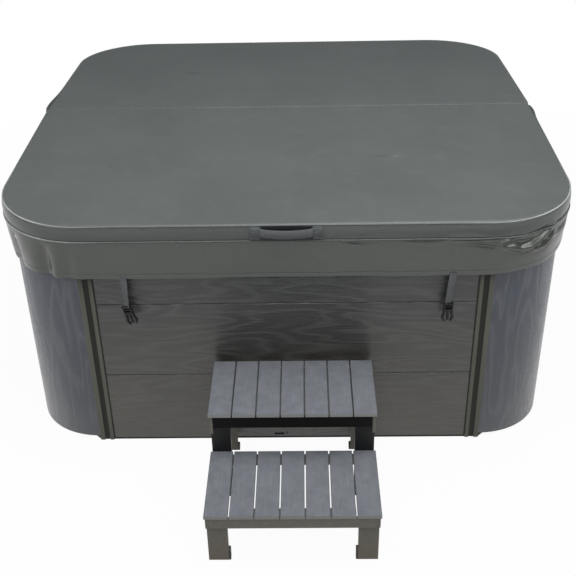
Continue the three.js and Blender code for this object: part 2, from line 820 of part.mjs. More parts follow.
function makePillows() {
  const x = basinX - basinRadius - pillowWidth / 2;
  for (const [name, end, side] of pillowPlaces) {
    const geometry = pillowForm().translate(0, 0, seat);
    leanOnWall(geometry, side, end * x, pillowCentreHeight);
    addMesh(name, geometry, pillowFoam);
  }
}

// Display with a recessed glass, and two knobs, on the right-hand ledge
function makeLedgeFittings() {
  const ledgeX = basinTopX + ledgeWidth / 2;
  const bottom = ledgeHeight + seat;
  const bezel = raise(
    roundedRectangle(displayWidth / 2, displayLength / 2, displayRound),
    0, displayHeight, 4);
  const glassHalfX = displayWidth / 2 - displayGlassBorder;
  const glassHalfY = displayLength / 2 - displayGlassBorder;
  const glass = raise(
    roundedRectangle(glassHalfX, glassHalfY, displayRound - displayGlassBorder),
    displayHeight - displayGlassDepth, displayHeight + overrun, 3);
  addMesh('control_display', toGeometry(toSolid(bezel).subtract(toSolid(glass))),
    fittingPlastic, [ledgeX, 0, bottom]);
  addMesh('diverter_knob', diverterKnob(), fittingPlastic,
    [ledgeX, diverterShare * basinY, bottom]);
  addMesh('air_knob', airKnob(), fittingPlastic, [ledgeX, airKnobShare * basinY, bottom]);
}

// A round base with a bar grip across it
function diverterKnob() {
  const baseHeight = diverterHeight / 2;
  const base = new THREE.CylinderGeometry(
    diverterRadius - knobDishDepth / 2, diverterRadius, baseHeight, knobSides);
  base.rotateX(Math.PI / 2).translate(0, 0, baseHeight / 2);
  const gripShape = roundedRectangle(
    diverterRadius - knobDishDepth, diverterGrip / 2, diverterGrip / 2 - seat);
  return toGeometry(join([base, raise(gripShape, baseHeight / 2, diverterHeight, 3)]));
}

// A fluted knob with a dished top
function airKnob() {
  const shape = new THREE.Shape();
  const steps = knobFlutes * fluteSteps;
  const fluteDepth = knobDishDepth / 2;
  for (let i = 0; i < steps; i += 1) {
    const angle = (i / steps) * Math.PI * 2;
    const radius = airKnobRadius - fluteDepth * (1 + Math.cos(angle * knobFlutes)) / 2;
    const point = [radius * Math.cos(angle), radius * Math.sin(angle)];
    if (i === 0) {
      shape.moveTo(...point);
    } else {
      shape.lineTo(...point);
    }
  }
  const dishRadius = airKnobRadius - knobDishDepth;
  const dish = new THREE.CylinderGeometry(dishRadius, dishRadius / 2, knobDishDepth, knobSides);
  dish.rotateX(Math.PI / 2).translate(0, 0, airKnobHeight - knobDishDepth / 2 + seat);
  return toGeometry(toSolid(raise(shape, 0, airKnobHeight)).subtract(toSolid(dish)));
}

// Jet pump: finned motor, volute and foot, with its axis along X
function pumpAxisY() {
  return -(halfDepth - frameInset - frameTube - voluteRadius - seat);
}

function makePump() {
  const x = pumpShare * halfWidth;
  const profile = [[0, 0], [motorRadius * motorNeckShare, 0], [motorRadius, motorCapLength]];
  const finPitch = (motorLength - 2 * motorCapLength) / motorFinCount;
  for (let fin = 0; fin < motorFinCount; fin += 1) {
    const start = motorCapLength + fin * finPitch;
    profile.push([motorRadius, start + finPitch / 2]);
    profile.push([motorRadius - motorFinDepth, start + finPitch / 2]);
    profile.push([motorRadius - motorFinDepth, start + finPitch]);
    profile.push([motorRadius, start + finPitch]);
  }
  profile.push([motorRadius, motorLength], [voluteRadius, motorLength]);
  profile.push([voluteRadius, motorLength + voluteLength]);
  profile.push([pipeRadius * inletShare, motorLength + voluteLength + motorCapLength]);
  profile.push([0, motorLength + voluteLength + motorCapLength]);
  const body = new THREE.LatheGeometry(profile.map(([r, l]) => new THREE.Vector2(r, l)), pumpSides);
  body.rotateZ(-Math.PI / 2).translate(x, pumpAxisY(), pumpAxisHeight);
  const footBottom = trayFloor + seat;
  const foot = box(
    x + motorCapLength, x + motorLength, pumpAxisY() - pumpFootWidth / 2,
    pumpAxisY() + pumpFootWidth / 2, footBottom, footBottom + pumpFootThickness);
  const web = box(
    x + motorCapLength * 2, x + motorLength - motorCapLength, pumpAxisY() - motorRadius / 2,
    pumpAxisY() + motorRadius / 2, footBottom, pumpAxisHeight);
  addMesh('jet_pump', toGeometry(join([body, foot, web])), pumpPaint);
}

// Pipe from the pump's inlet to the suction in the footwell's front wall
function makePipe() {
  const inletX = pumpShare * halfWidth + motorLength + voluteLength + motorCapLength + seat;
  const suction = suctionPlace();
  const start = new THREE.Vector3(inletX, pumpAxisY(), pumpAxisHeight);
  const end = new THREE.Vector3(suction.x, suction.y - 2 * shellWall - seat, suction.z);
  const corner = new THREE.Vector3(end.x, start.y, start.z);
  const beforeBend = corner.clone().setX(end.x - pipeBend);
  const afterBend = corner.clone().setY(start.y + pipeBend);
  const beforeRise = corner.clone().setY((start.y + end.y) / 2);
  const afterRise = end.clone().setY(end.y - pipeBend);
  const path = new THREE.CurvePath();
  path.add(new THREE.LineCurve3(start, beforeBend));
  path.add(new THREE.QuadraticBezierCurve3(beforeBend, corner, afterBend));
  path.add(new THREE.LineCurve3(afterBend, beforeRise));
  path.add(new THREE.LineCurve3(beforeRise, afterRise));
  path.add(new THREE.LineCurve3(afterRise, end));
  const smooth = new THREE.CatmullRomCurve3(
    path.getSpacedPoints(pipeSteps / 2), false, 'centripetal');
  const section = new THREE.Shape();
  section.absarc(0, 0, pipeRadius, 0, Math.PI * 2);
  const geometry = new THREE.ExtrudeGeometry(section, {
    extrudePath: smooth, steps: pipeSteps, curveSegments: pipeSides, bevelEnabled: false });
  addMesh('suction_pipe', geometry, pipePlastic);
}

// Control box on the front rails, with the heater tube under it
function makeControlBox() {
  const x0 = controlBoxShare * halfWidth;
  const x1 = x0 + controlBoxLength;
  const front = -(halfDepth - frameInset - frameTube - seat);
  const rear = front + controlBoxDepth;
  const top = controlBoxBottom + controlBoxHeight;
  const body = box(x0, x1, front, rear, controlBoxBottom, top);
  const lid = box(
    x0 - controlBoxLid / 2, x1 + controlBoxLid / 2, rear - controlBoxLid, rear + controlBoxLid / 2,
    controlBoxBottom - controlBoxLid / 2, top + controlBoxLid / 2);
  const bracket = box(
    x0 + frameTube, x0 + 2 * frameTube, front, front + trayWall,
    trayFloor + seat, controlBoxBottom + frameTube);
  const secondBracket = bracket.clone().translate(controlBoxLength - 3 * frameTube, 0, 0);
  const heaterStart = new THREE.Vector3(
    x0 - controlBoxLid, (front + rear) / 2, controlBoxBottom - heaterRadius / 2);
  const heater = rod(
    heaterRadius, heaterStart, new THREE.Vector3(1, 0, 0), controlBoxLength + 2 * controlBoxLid,
    heaterSides);
  const pieces = [body, lid, bracket, secondBracket, heater];
  addMesh('control_box', toGeometry(join(pieces)), trayPlastic);
}

// Cover. Each half is drawn as the front one, and turned half a turn for the rear.
function coverPath() {
  const r = coverCornerRadius;
  const end = -coverHingeGap / 2;
  const path = new THREE.Path();
  path.moveTo(-coverX, end);
  path.lineTo(-coverX, r - coverY);
  path.absarc(r - coverX, r - coverY, r, Math.PI, Math.PI * 1.5);
  path.lineTo(coverX - r, -coverY);
  path.absarc(coverX - r, r - coverY, r, -Math.PI / 2, 0);
  path.lineTo(coverX, end);
  return path;
}

// Foam slab with a flat underside and a top that falls from the hinge to the far edge
function coverSlab() {
  const shape = new THREE.Shape(coverPath().getPoints(coverCornerSteps));
  const geometry = raise(shape, coverBottom, hingeHeight);
  const position = geometry.attributes.position;
  const fall = coverRidgeThickness - coverEdgeThickness;
  for (let i = 0; i < position.count; i += 1) {
    if (position.getZ(i) > coverBottom + coverEdgeThickness / 2) {
      position.setZ(i, hingeHeight + fall * position.getY(i) / coverY);
    }
  }
  return geometry;
}

// Points along the skirt with the direction out of the cover and the folds' swell there
function skirtStations() {
  const r = coverCornerRadius;
  const arc = r * Math.PI / 2;
  const side = coverY - r - coverHingeGap / 2;
  const front = 2 * (coverX - r);
  const total = 2 * side + 2 * arc + front;
  const foldSpan = arc + 2 * foldReach;
  const lengths = [0, side - foldReach];
  const stepCount = foldCount * foldSteps;
  for (const start of [side - foldReach, side + arc + front - foldReach]) {
    for (let i = 1; i <= stepCount; i += 1) {
      lengths.push(start + foldSpan * i / stepCount);
    }
    if (start < side) {
      lengths.push(total / 2, total / 2 + front / 2 - foldReach);
    }
  }
  lengths.push(total);
  return lengths.map((length) => skirtStation(length, side, arc, front, foldSpan));
}

function skirtStation(length, side, arc, front, foldSpan) {
  const r = coverCornerRadius;
  const along = Math.min(length, 2 * side + 2 * arc + front - length);
  const mirrored = length > side + arc + front / 2 ? -1 : 1;
  let point;
  let out;
  if (along <= side) {
    point = new THREE.Vector2(-coverX, -coverHingeGap / 2 - along);
    out = new THREE.Vector2(-1, 0);
  } else if (along <= side + arc) {
    const angle = Math.PI + (along - side) / r;
    out = new THREE.Vector2(Math.cos(angle), Math.sin(angle));
    point = out.clone().multiplyScalar(r).add(new THREE.Vector2(r - coverX, r - coverY));
  } else {
    point = new THREE.Vector2(r - coverX + along - side - arc, -coverY);
    out = new THREE.Vector2(0, -1);
  }
  point.x *= mirrored;
  out.x *= mirrored;
  const share = THREE.MathUtils.clamp((along - side + foldReach) / foldSpan, 0, 1);
  const swell = Math.sin(share * Math.PI) * (1 - Math.cos(share * foldCount * Math.PI * 2)) / 2;
  return { point, out, swell };
}

function coverSkirt() {
  const levelShares = [0, 0.45, 1]; // from the hem up
  const rings = skirtStations().map(({ point, out, swell }) => {
    const outer = [];
    const inner = [];
    for (const share of levelShares) {
      const z = hemHeight + share * (skirtDrop + skirtOverlap);
      const lift = skirtThickness / 2 + (skirtFlare + foldDepth * swell) * (1 - share);
      const face = point.clone().addScaledVector(out, lift);
      const back = point.clone().addScaledVector(out, lift - skirtThickness);
      outer.push(new THREE.Vector3(face.x, face.y, z));
      inner.unshift(new THREE.Vector3(back.x, back.y, z));
    }
    return [...outer, ...inner];
  });
  return stripSolid(rings);
}

// A closed solid through upright sections with the same count of points
function stripSolid(rings) {
  const count = rings[0].length;
  const position = rings.flat().flatMap((point) => [point.x, point.y, point.z]);
  const index = [];
  for (let station = 0; station < rings.length - 1; station += 1) {
    for (let i = 0; i < count; i += 1) {
      const a = station * count + i;
      const b = station * count + ((i + 1) % count);
      index.push(a, a + count, b + count, a, b + count, b);
    }
  }
  const last = (rings.length - 1) * count;
  for (let i = 0; i < count / 2 - 1; i += 1) {
    const opposite = count - 1 - i;
    index.push(i, i + 1, opposite - 1, i, opposite - 1, opposite);
    index.push(last + i, last + opposite - 1, last + i + 1);
    index.push(last + i, last + opposite, last + opposite - 1);
  }
  const geometry = new THREE.BufferGeometry();
  geometry.setAttribute('position', new THREE.Float32BufferAttribute(position, 3));
  geometry.setIndex(index);
  return geometry;
}

function makeCover() {
  const half = toGeometry(toSolid(coverSlab()).add(toSolid(coverSkirt())));
  addMesh('cover_front', half, vinyl);
  addMesh('cover_rear', half.clone(), vinyl, [0, 0, 0], Math.PI);
}

// Webbing handle: sewn flat at both ends, bowed out between them
function makeHandle() {
  const back = -(coverY + seat);
  const half = handleLength / 2;
  const openHalf = handleOpening / 2;
  const shape = new THREE.Shape();
  shape.moveTo(-half, back);
  shape.lineTo(-half, back - handleThickness);
  const bowAt = (i) => {
    const share = i / handleBowSteps;
    const rise = handleBow * Math.sin(share * Math.PI) ** handleBowPower;
    return [-openHalf + share * handleOpening, rise];
  };
  for (let i = 0; i <= handleBowSteps; i += 1) {
    const [x, rise] = bowAt(i);
    shape.lineTo(x, back - handleThickness - rise);
  }
  shape.lineTo(half, back - handleThickness);
  shape.lineTo(half, back);
  for (let i = handleBowSteps; i >= 0; i -= 1) {
    const [x, rise] = bowAt(i);
    shape.lineTo(x, back - rise);
  }
  const centre = coverBottom + coverEdgeThickness * handleHeightShare;
  const geometry = raise(shape, centre - handleWebbing / 2, centre + handleWebbing / 2);
  addMesh('cover_handle', geometry.translate(fittingsOffset, 0, 0), webbing);
}

// Lock straps, hanging from behind the hem, each with the plug half of a side-release clip.
// They are drawn round the hinge line at the hem.
const strapFaceDrop = skirtThickness / 2 - skirtFlare + strapPlay + strapThickness / 2;
const strapHingeY = -(coverY - strapFaceDrop);
const strapHingeZ = hemHeight - strapHingeDrop;
const clipTop = strapHingeDrop - strapDrop;

function strapWebbing() {
  const half = strapWidth / 2;
  return box(
    -half, half, -strapThickness / 2, strapThickness / 2, clipTop - clipSocket, strapHidden);
}

// Plug seen from the front: a body with a slot for the webbing, a middle guide and two
// hooked spring prongs
function clipForm() {
  const half = clipWidth / 2;
  const inner = half - clipProngWidth;
  const guideHalf = clipProngWidth / 2;
  const shoulder = clipTop - clipChamfer - clipBody;
  const tip = shoulder - clipProng;
  const shape = new THREE.Shape();
  shape.moveTo(-half, clipTop - clipChamfer);
  shape.lineTo(-half, shoulder);
  shape.lineTo(-half - clipHook, tip + clipProng / 3);
  shape.lineTo(-half + clipHook / 2, tip);
  shape.lineTo(-inner, tip + clipHook);
  shape.lineTo(-inner, shoulder);
  shape.lineTo(-guideHalf, shoulder);
  shape.lineTo(-guideHalf, tip + clipProngWidth);
  shape.lineTo(guideHalf, tip + clipProngWidth);
  shape.lineTo(guideHalf, shoulder);
  shape.lineTo(inner, shoulder);
  shape.lineTo(inner, tip + clipHook);
  shape.lineTo(half - clipHook / 2, tip);
  shape.lineTo(half + clipHook, tip + clipProng / 3);
  shape.lineTo(half, shoulder);
  shape.lineTo(half, clipTop - clipChamfer);
  shape.lineTo(half - clipChamfer, clipTop);
  shape.lineTo(-half + clipChamfer, clipTop);
  const geometry = new THREE.ExtrudeGeometry(shape, { depth: clipThickness, bevelEnabled: false });
  geometry.rotateX(Math.PI / 2).translate(0, clipThickness / 2, 0);
  const slot = box(
    -strapWidth / 2 - seat, strapWidth / 2 + seat, -strapThickness / 2 - seat,
    strapThickness / 2 + seat, clipTop - clipSocket - seat, clipTop + overrun);
  return toGeometry(toSolid(geometry).subtract(toSolid(slot)));
}

function makeStraps() {
  const places = [
    ['front_left', -1, 1, 0],
    ['front_right', 1, 1, strapLeanRight],
    ['rear_left', -1, -1, 0],
    ['rear_right', 1, -1, 0],
  ];
  for (const [name, side, front, lean] of places) {
    const x = side * strapSpacing / 2 + front * fittingsOffset;
    const turn = front > 0 ? 0 : Math.PI;
    const tilt = THREE.MathUtils.degToRad(lean);
    for (const [piece, form, material] of [
      ['strap', strapWebbing(), webbing],
      ['clip', clipForm(), clipPlastic],
    ]) {
      form.rotateY(tilt);
      addMesh(`${piece}_${name}`, form, material, [x, front * strapHingeY, strapHingeZ], turn);
    }
  }
}

// Steps
const upperTreadBack = -(halfDepth + stepsGap);
const upperTreadFront = upperTreadBack - upperTreadDepth;
const upperLegFront = upperTreadFront + treadOverhang + apronThickness;
const lowerTreadBack = upperLegFront - seat;
const lowerTreadFront = lowerTreadBack - lowerTreadDepth;
const lowerLegFront = lowerTreadFront + treadOverhang + apronThickness;
const rearLegFront = upperTreadBack - rearLegInset - legThickness;
const stepsHalf = stepsWidth / 2;
const lowerSlatBottom = lowerTreadTop - slatThickness;
const upperSlatBottom = upperTreadTop - slatThickness;
const frontApronInset = apronInset + sideApronThickness + seat; // between the side aprons
const frontApronSetBack = seat + apronThickness; // front apron's face, in front of the legs

// One board of a tread, running from front to back, with eased long edges
function slat(width, length) {
  const r = slatEdgeRound;
  const half = width / 2;
  const shape = new THREE.Shape([
    [-half, 0], [half, 0], [half, slatThickness - r], [half - r, slatThickness],
    [r - half, slatThickness], [-half, slatThickness - r],
  ].map(([x, z]) => new THREE.Vector2(x, z)));
  const geometry = new THREE.ExtrudeGeometry(shape, { depth: length, bevelEnabled: false });
  return geometry.rotateX(Math.PI / 2).translate(0, length, 0);
}

function makeTread(name, front, back, bottom) {
  const pitch = (stepsWidth + slatGap) / slatCount;
  for (let i = 0; i < slatCount; i += 1) {
    const x = stepsOffset - stepsHalf + pitch * i + (pitch - slatGap) / 2;
    const geometry = slat(pitch - slatGap, back - front);
    addMesh(`${name}_slat_${i + 1}`, geometry, slatFinish, [x, front, bottom]);
  }
}

// A side of the steps: three legs, their foot blocks and the two aprons that join them
function sideFrame() {
  const inner = legInset + legWidth;
  const leg = (front, top) => box(legInset, inner, front, front + legThickness, 0, top - seat);
  const foot = (front, height) => box(inner - footWidth, inner + footWidth, front + seat,
    front + legThickness - seat, seat, height);
  const lowerSide = box(
    apronInset, apronInset + sideApronThickness, lowerLegFront - frontApronSetBack, upperLegFront,
    lowerSlatBottom - apronHeight, lowerSlatBottom - seat);
  const upperSide = box(
    apronInset, apronInset + sideApronThickness, upperLegFront - frontApronSetBack,
    rearLegFront + legThickness, upperSlatBottom - upperSideApronHeight, upperSlatBottom - seat);
  const legs = [[lowerLegFront, lowerSlatBottom, footHeight],
    [upperLegFront, upperSlatBottom, footHeight], [rearLegFront, upperSlatBottom, rearFootHeight]];
  const pieces = legs.flatMap(([front, top, height]) => [leg(front, top), foot(front, height)]);
  return join([...pieces, lowerSide, upperSide]);
}

function crossRail(name, front, thickness, height, top, material, inset) {
  const geometry = box(
    stepsOffset - stepsHalf + inset, stepsOffset + stepsHalf - inset,
    front, front + thickness, top - height, top - seat);
  addMesh(name, geometry, material);
}

function makeSteps() {
  makeTread('lower', lowerTreadFront, lowerTreadBack, lowerSlatBottom);
  makeTread('upper', upperTreadFront, upperTreadBack, upperSlatBottom);
  const frame = sideFrame();
  const left = toGeometry(frame).translate(stepsOffset - stepsHalf, 0, 0);
  const right = toGeometry(frame.mirror([1, 0, 0])).translate(stepsOffset + stepsHalf, 0, 0);
  addMesh('step_side_left', left, stepFrameFinish);
  addMesh('step_side_right', right, stepFrameFinish);
  crossRail('lower_front_apron', lowerLegFront - frontApronSetBack, apronThickness,
    apronHeight, lowerSlatBottom, stepFrameFinish, frontApronInset);
  crossRail('upper_front_apron', upperLegFront - frontApronSetBack, apronThickness,
    upperApronHeight, upperSlatBottom, darkStepFinish, frontApronInset);
  crossRail('lower_rear_rail', upperLegFront - frontApronSetBack, apronThickness,
    apronHeight, lowerSlatBottom, stepFrameFinish, frontApronInset);
  crossRail('upper_rear_rail', rearLegFront + legThickness + seat, apronThickness,
    upperApronHeight, upperSlatBottom, stepFrameFinish, apronInset);
}

makeTray();
makeFrame();
makeShell();
makePanels();
makeCornerPanels();
makeTrims();
makeGrille();
makePillows();
makeLedgeFittings();
makePump();
makePipe();
makeControlBox();
makeCover();
makeHandle();
makeStraps();
makeSteps();

export default model;
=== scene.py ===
import math

import bmesh
import bpy
from mathutils import Matrix, Vector, noise


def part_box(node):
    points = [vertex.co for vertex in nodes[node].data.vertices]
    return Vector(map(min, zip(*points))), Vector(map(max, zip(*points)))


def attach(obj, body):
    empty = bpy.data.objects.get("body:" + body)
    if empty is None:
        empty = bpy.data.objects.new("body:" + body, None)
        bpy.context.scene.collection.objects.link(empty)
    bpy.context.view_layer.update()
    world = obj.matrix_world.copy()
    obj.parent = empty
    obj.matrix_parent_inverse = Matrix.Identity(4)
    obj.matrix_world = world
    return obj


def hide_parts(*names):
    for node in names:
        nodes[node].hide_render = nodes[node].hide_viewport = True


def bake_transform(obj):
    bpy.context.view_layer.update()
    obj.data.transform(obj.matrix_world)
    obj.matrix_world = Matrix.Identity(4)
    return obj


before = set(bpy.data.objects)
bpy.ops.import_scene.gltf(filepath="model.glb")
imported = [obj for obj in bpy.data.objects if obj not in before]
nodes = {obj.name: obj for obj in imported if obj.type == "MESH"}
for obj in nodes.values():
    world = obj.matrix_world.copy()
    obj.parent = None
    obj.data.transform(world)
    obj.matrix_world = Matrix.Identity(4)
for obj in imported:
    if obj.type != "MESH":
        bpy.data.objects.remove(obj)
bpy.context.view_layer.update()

# Sizes in metres: the main ones as in the solids, and small ones that only the scene has
cover_x = 1.045
cover_y = 1.071
cover_corner = 0.340
cover_under = 0.8953
edge_top = 0.9603
ridge_top = 0.9903
hem_height = 0.7503
edge_roll = 0.012
seam_roll = 0.0040
under_roll = 0.002
seam_gap = 0.005
seam_notch = 0.022
tub_half_x = 1.012
tub_half_y = 1.038
tub_top = 0.895
tub_corner = 0.266
rim_overhang = 0.014
shell_wall = 0.006
ledge_height = 0.867
arm_top = 0.600
basin_top_x = 0.820
basin_top_y = 0.846
basin_x = 0.775
basin_y = 0.801
strap_hinge_y = 1.0717
strap_hinge_z = 0.7473
steps_x = 0.022

# The signs of x and y at the cabinet's corners, a quarter turn apart
corner_signs = {"rear_right": (1, 1), "rear_left": (-1, 1),
                "front_left": (-1, -1), "front_right": (1, -1)}


# Basic steps

def unselect():
    bpy.ops.object.select_all(action="DESELECT")


def work_on(piece):
    unselect()
    piece.hide_set(False)
    piece.select_set(True)
    bpy.context.view_layer.objects.active = piece
    return piece


def settle(piece, name):
    """Names a piece, and puts its place, turn and size into its mesh."""
    work_on(piece)
    bpy.ops.object.transform_apply(location=True, rotation=True, scale=True)
    piece.name = name
    piece.data.name = name
    return piece


def apply_all(piece):
    work_on(piece)
    for modifier in list(piece.modifiers):
        bpy.ops.object.modifier_apply(modifier=modifier.name)
    return piece


def join(pieces, name):
    unselect()
    for piece in pieces:
        piece.select_set(True)
    bpy.context.view_layer.objects.active = pieces[0]
    bpy.ops.object.join()
    return settle(pieces[0], name)


def copy_of(piece, name, matrix):
    made = bpy.data.objects.new(name, piece.data.copy())
    bpy.context.scene.collection.objects.link(made)
    made.data.transform(matrix)
    made.data.name = name
    return made


def drop(piece):
    bpy.data.objects.remove(piece, do_unlink=True)


def edit_all(piece):
    """Enters edit mode with all of a piece selected."""
    work_on(piece)
    bpy.ops.object.mode_set(mode="EDIT")
    bpy.ops.mesh.select_all(action="SELECT")


def end_edit():
    bpy.ops.object.mode_set(mode="OBJECT")


def extrude(x, y, z):
    bpy.ops.mesh.extrude_region_move(TRANSFORM_OT_translate={"value": (x, y, z)})


def outward(piece):
    """Merges doubles and turns every face outwards."""
    edit_all(piece)
    bpy.ops.mesh.remove_doubles(threshold=0.00001)
    bpy.ops.mesh.normals_make_consistent(inside=False)
    end_edit()
    return piece


def soften(piece, degrees=35):
    work_on(piece)
    bpy.ops.object.shade_smooth_by_angle(angle=math.radians(degrees))
    return piece


def bevelled(piece, width, segments=2, degrees=30):
    modifier = piece.modifiers.new("eased", "BEVEL")
    modifier.width = width
    modifier.segments = segments
    modifier.limit_method = "ANGLE"
    modifier.angle_limit = math.radians(degrees)
    return apply_all(piece)


def eased(piece, width, segments=2, degrees=30, smooth=35):
    """Bevels a piece's edges and shades it smooth between the sharper ones."""
    return soften(bevelled(piece, width, segments, degrees), smooth)


def thickened(piece, thickness, offset=-1.0):
    """Gives a skin its thickness: inwards, or to both sides with an offset of 0."""
    modifier = piece.modifiers.new("wall", "SOLIDIFY")
    modifier.thickness = thickness
    modifier.offset = offset
    return apply_all(piece)


def block(size, place, name="block", width=0.0, segments=2):
    """A box with eased edges."""
    unselect()
    bpy.ops.mesh.primitive_cube_add(size=1, location=place)
    piece = bpy.context.object
    piece.scale = size
    settle(piece, name)
    if width:
        eased(piece, width, segments)
    return piece


def disc(radius, depth, place, sides, name):
    unselect()
    bpy.ops.mesh.primitive_cylinder_add(vertices=sides, radius=radius, depth=depth, location=place)
    return settle(bpy.context.object, name)


def pick_faces(piece, wanted):
    """Selects the faces whose middle and normal are as wanted, and stays in edit mode."""
    work_on(piece)
    bpy.ops.object.mode_set(mode="EDIT")
    bpy.ops.mesh.select_mode(type="FACE")
    bpy.ops.mesh.select_all(action="DESELECT")
    form = bmesh.from_edit_mesh(piece.data)
    for face in form.faces:
        if wanted(face.calc_center_median(), face.normal):
            face.select_set(True)
    bmesh.update_edit_mesh(piece.data)


def woven(name, rows, uvs, wrap=False, caps=False):
    """A mesh through rows of points, each with its place on the flat piece in uvs."""
    form = bmesh.new()
    layer = form.loops.layers.uv.new("UVMap")
    grid = [[form.verts.new(point) for point in row] for row in rows]
    count = len(rows[0])
    spans = count if wrap else count - 1
    for j in range(len(rows) - 1):
        for i in range(spans):
            k = (i + 1) % count
            face = form.faces.new((grid[j][i], grid[j][k], grid[j + 1][k], grid[j + 1][i]))
            places = [uvs[j][i], uvs[j][i + 1], uvs[j + 1][i + 1], uvs[j + 1][i]]
            for loop, place in zip(face.loops, places):
                loop[layer].uv = place
            face.smooth = True
    if caps:
        for j, turned in ((0, True), (len(rows) - 1, False)):
            ring = grid[j][::-1] if turned else grid[j]
            face = form.faces.new(ring)
            face.smooth = True
            for loop in face.loops:
                loop[layer].uv = uvs[j][0]
            bmesh.ops.triangulate(form, faces=[face])
    mesh = bpy.data.meshes.new(name)
    form.to_mesh(mesh)
    form.free()
    piece = bpy.data.objects.new(name, mesh)
    bpy.context.scene.collection.objects.link(piece)
    return piece


def cord_of(name, points, radius):
    """A sewn-in welt: a round section along a line."""
    line = bpy.data.curves.new(name, "CURVE")
    line.dimensions = "3D"
    spline = line.splines.new("POLY")
    spline.points.add(len(points) - 1)
    for at, point in zip(spline.points, points):
        at.co = (*point, 1)
    line.bevel_depth = radius
    line.bevel_resolution = 4
    line.use_fill_caps = True
    piece = bpy.data.objects.new(name, line)
    bpy.context.scene.collection.objects.link(piece)
    work_on(piece)
    bpy.ops.object.convert(target="MESH")
    piece = bpy.context.object
    bpy.ops.object.shade_smooth()
    return piece


# Node building

def tint(code):
    """A colour written as six hex digits, as Blender's shaders want it."""
    shares = [int(code[i:i + 2], 16) / 255 for i in (0, 2, 4)]
    linear = [c / 12.92 if c <= 0.04045 else ((c + 0.055) / 1.055) ** 2.4 for c in shares]
    return (*linear, 1.0)


class Net:
    """Adds nodes to a tree and joins them."""

    def __init__(self, tree):
        self.tree = tree

    def add(self, kind, **settings):
        made = self.tree.nodes.new(kind)
        for key, value in settings.items():
            setattr(made, key, value)
        return made

    def feed(self, socket, value):
        if isinstance(value, bpy.types.NodeSocket):
            self.tree.links.new(value, socket)
        elif value is not None:
            socket.default_value = value

    def math(self, operation, a, b=None, c=None):
        made = self.add("ShaderNodeMath", operation=operation)
        for socket, value in zip(made.inputs, (a, b, c)):
            self.feed(socket, value)
        return made.outputs[0]

    def split(self, vector):
        made = self.add("ShaderNodeSeparateXYZ")
        self.feed(made.inputs[0], vector)
        return made.outputs

    def merge(self, x, y, z):
        made = self.add("ShaderNodeCombineXYZ")
        for socket, value in zip(made.inputs, (x, y, z)):
            self.feed(socket, value)
        return made.outputs[0]

    def noise(self, vector, scale, detail=3.0, roughness=0.5):
        made = self.add("ShaderNodeTexNoise")
        self.feed(made.inputs["Vector"], vector)
        self.feed(made.inputs["Scale"], scale)
        self.feed(made.inputs["Detail"], detail)
        self.feed(made.inputs["Roughness"], roughness)
        return made.outputs["Fac"]

    def ramp(self, value, low, high, to_low=0.0, to_high=1.0):
        made = self.add("ShaderNodeMapRange")
        made.clamp = True
        for socket, one in zip(made.inputs, (value, low, high, to_low, to_high)):
            self.feed(socket, one)
        return made.outputs[0]

    def mix(self, share, a, b):
        made = self.add("ShaderNodeMix", data_type="RGBA")
        self.feed(made.inputs[0], share)
        self.feed(made.inputs[6], a)
        self.feed(made.inputs[7], b)
        return made.outputs[2]

    def bump(self, height, distance, strength=1.0):
        made = self.add("ShaderNodeBump")
        made.inputs["Strength"].default_value = strength
        made.inputs["Distance"].default_value = distance
        self.feed(made.inputs["Height"], height)
        return made.outputs["Normal"]

    def place(self):
        return self.add("ShaderNodeTexCoord").outputs["Object"]

    def flat_place(self):
        made = self.add("ShaderNodeUVMap")
        made.uv_map = "UVMap"
        return made.outputs[0]

    def group(self, tree, **values):
        made = self.add("ShaderNodeGroup")
        made.node_tree = tree
        for key, value in values.items():
            self.feed(made.inputs[key.replace("_", " ")], value)
        return made.outputs


def group_tree(name, inputs, outputs):
    tree = bpy.data.node_groups.new(name, "ShaderNodeTree")
    for label, kind, value in inputs:
        socket = tree.interface.new_socket(name=label, in_out="INPUT", socket_type=kind)
        if value is not None:
            socket.default_value = value
    for label, kind in outputs:
        tree.interface.new_socket(name=label, in_out="OUTPUT", socket_type=kind)
    net = Net(tree)
    source = net.add("NodeGroupInput").outputs
    target = net.add("NodeGroupOutput").inputs
    return tree, net, source, target


# Effects that several finishes share

FLOAT, VECTOR = "NodeSocketFloat", "NodeSocketVector"


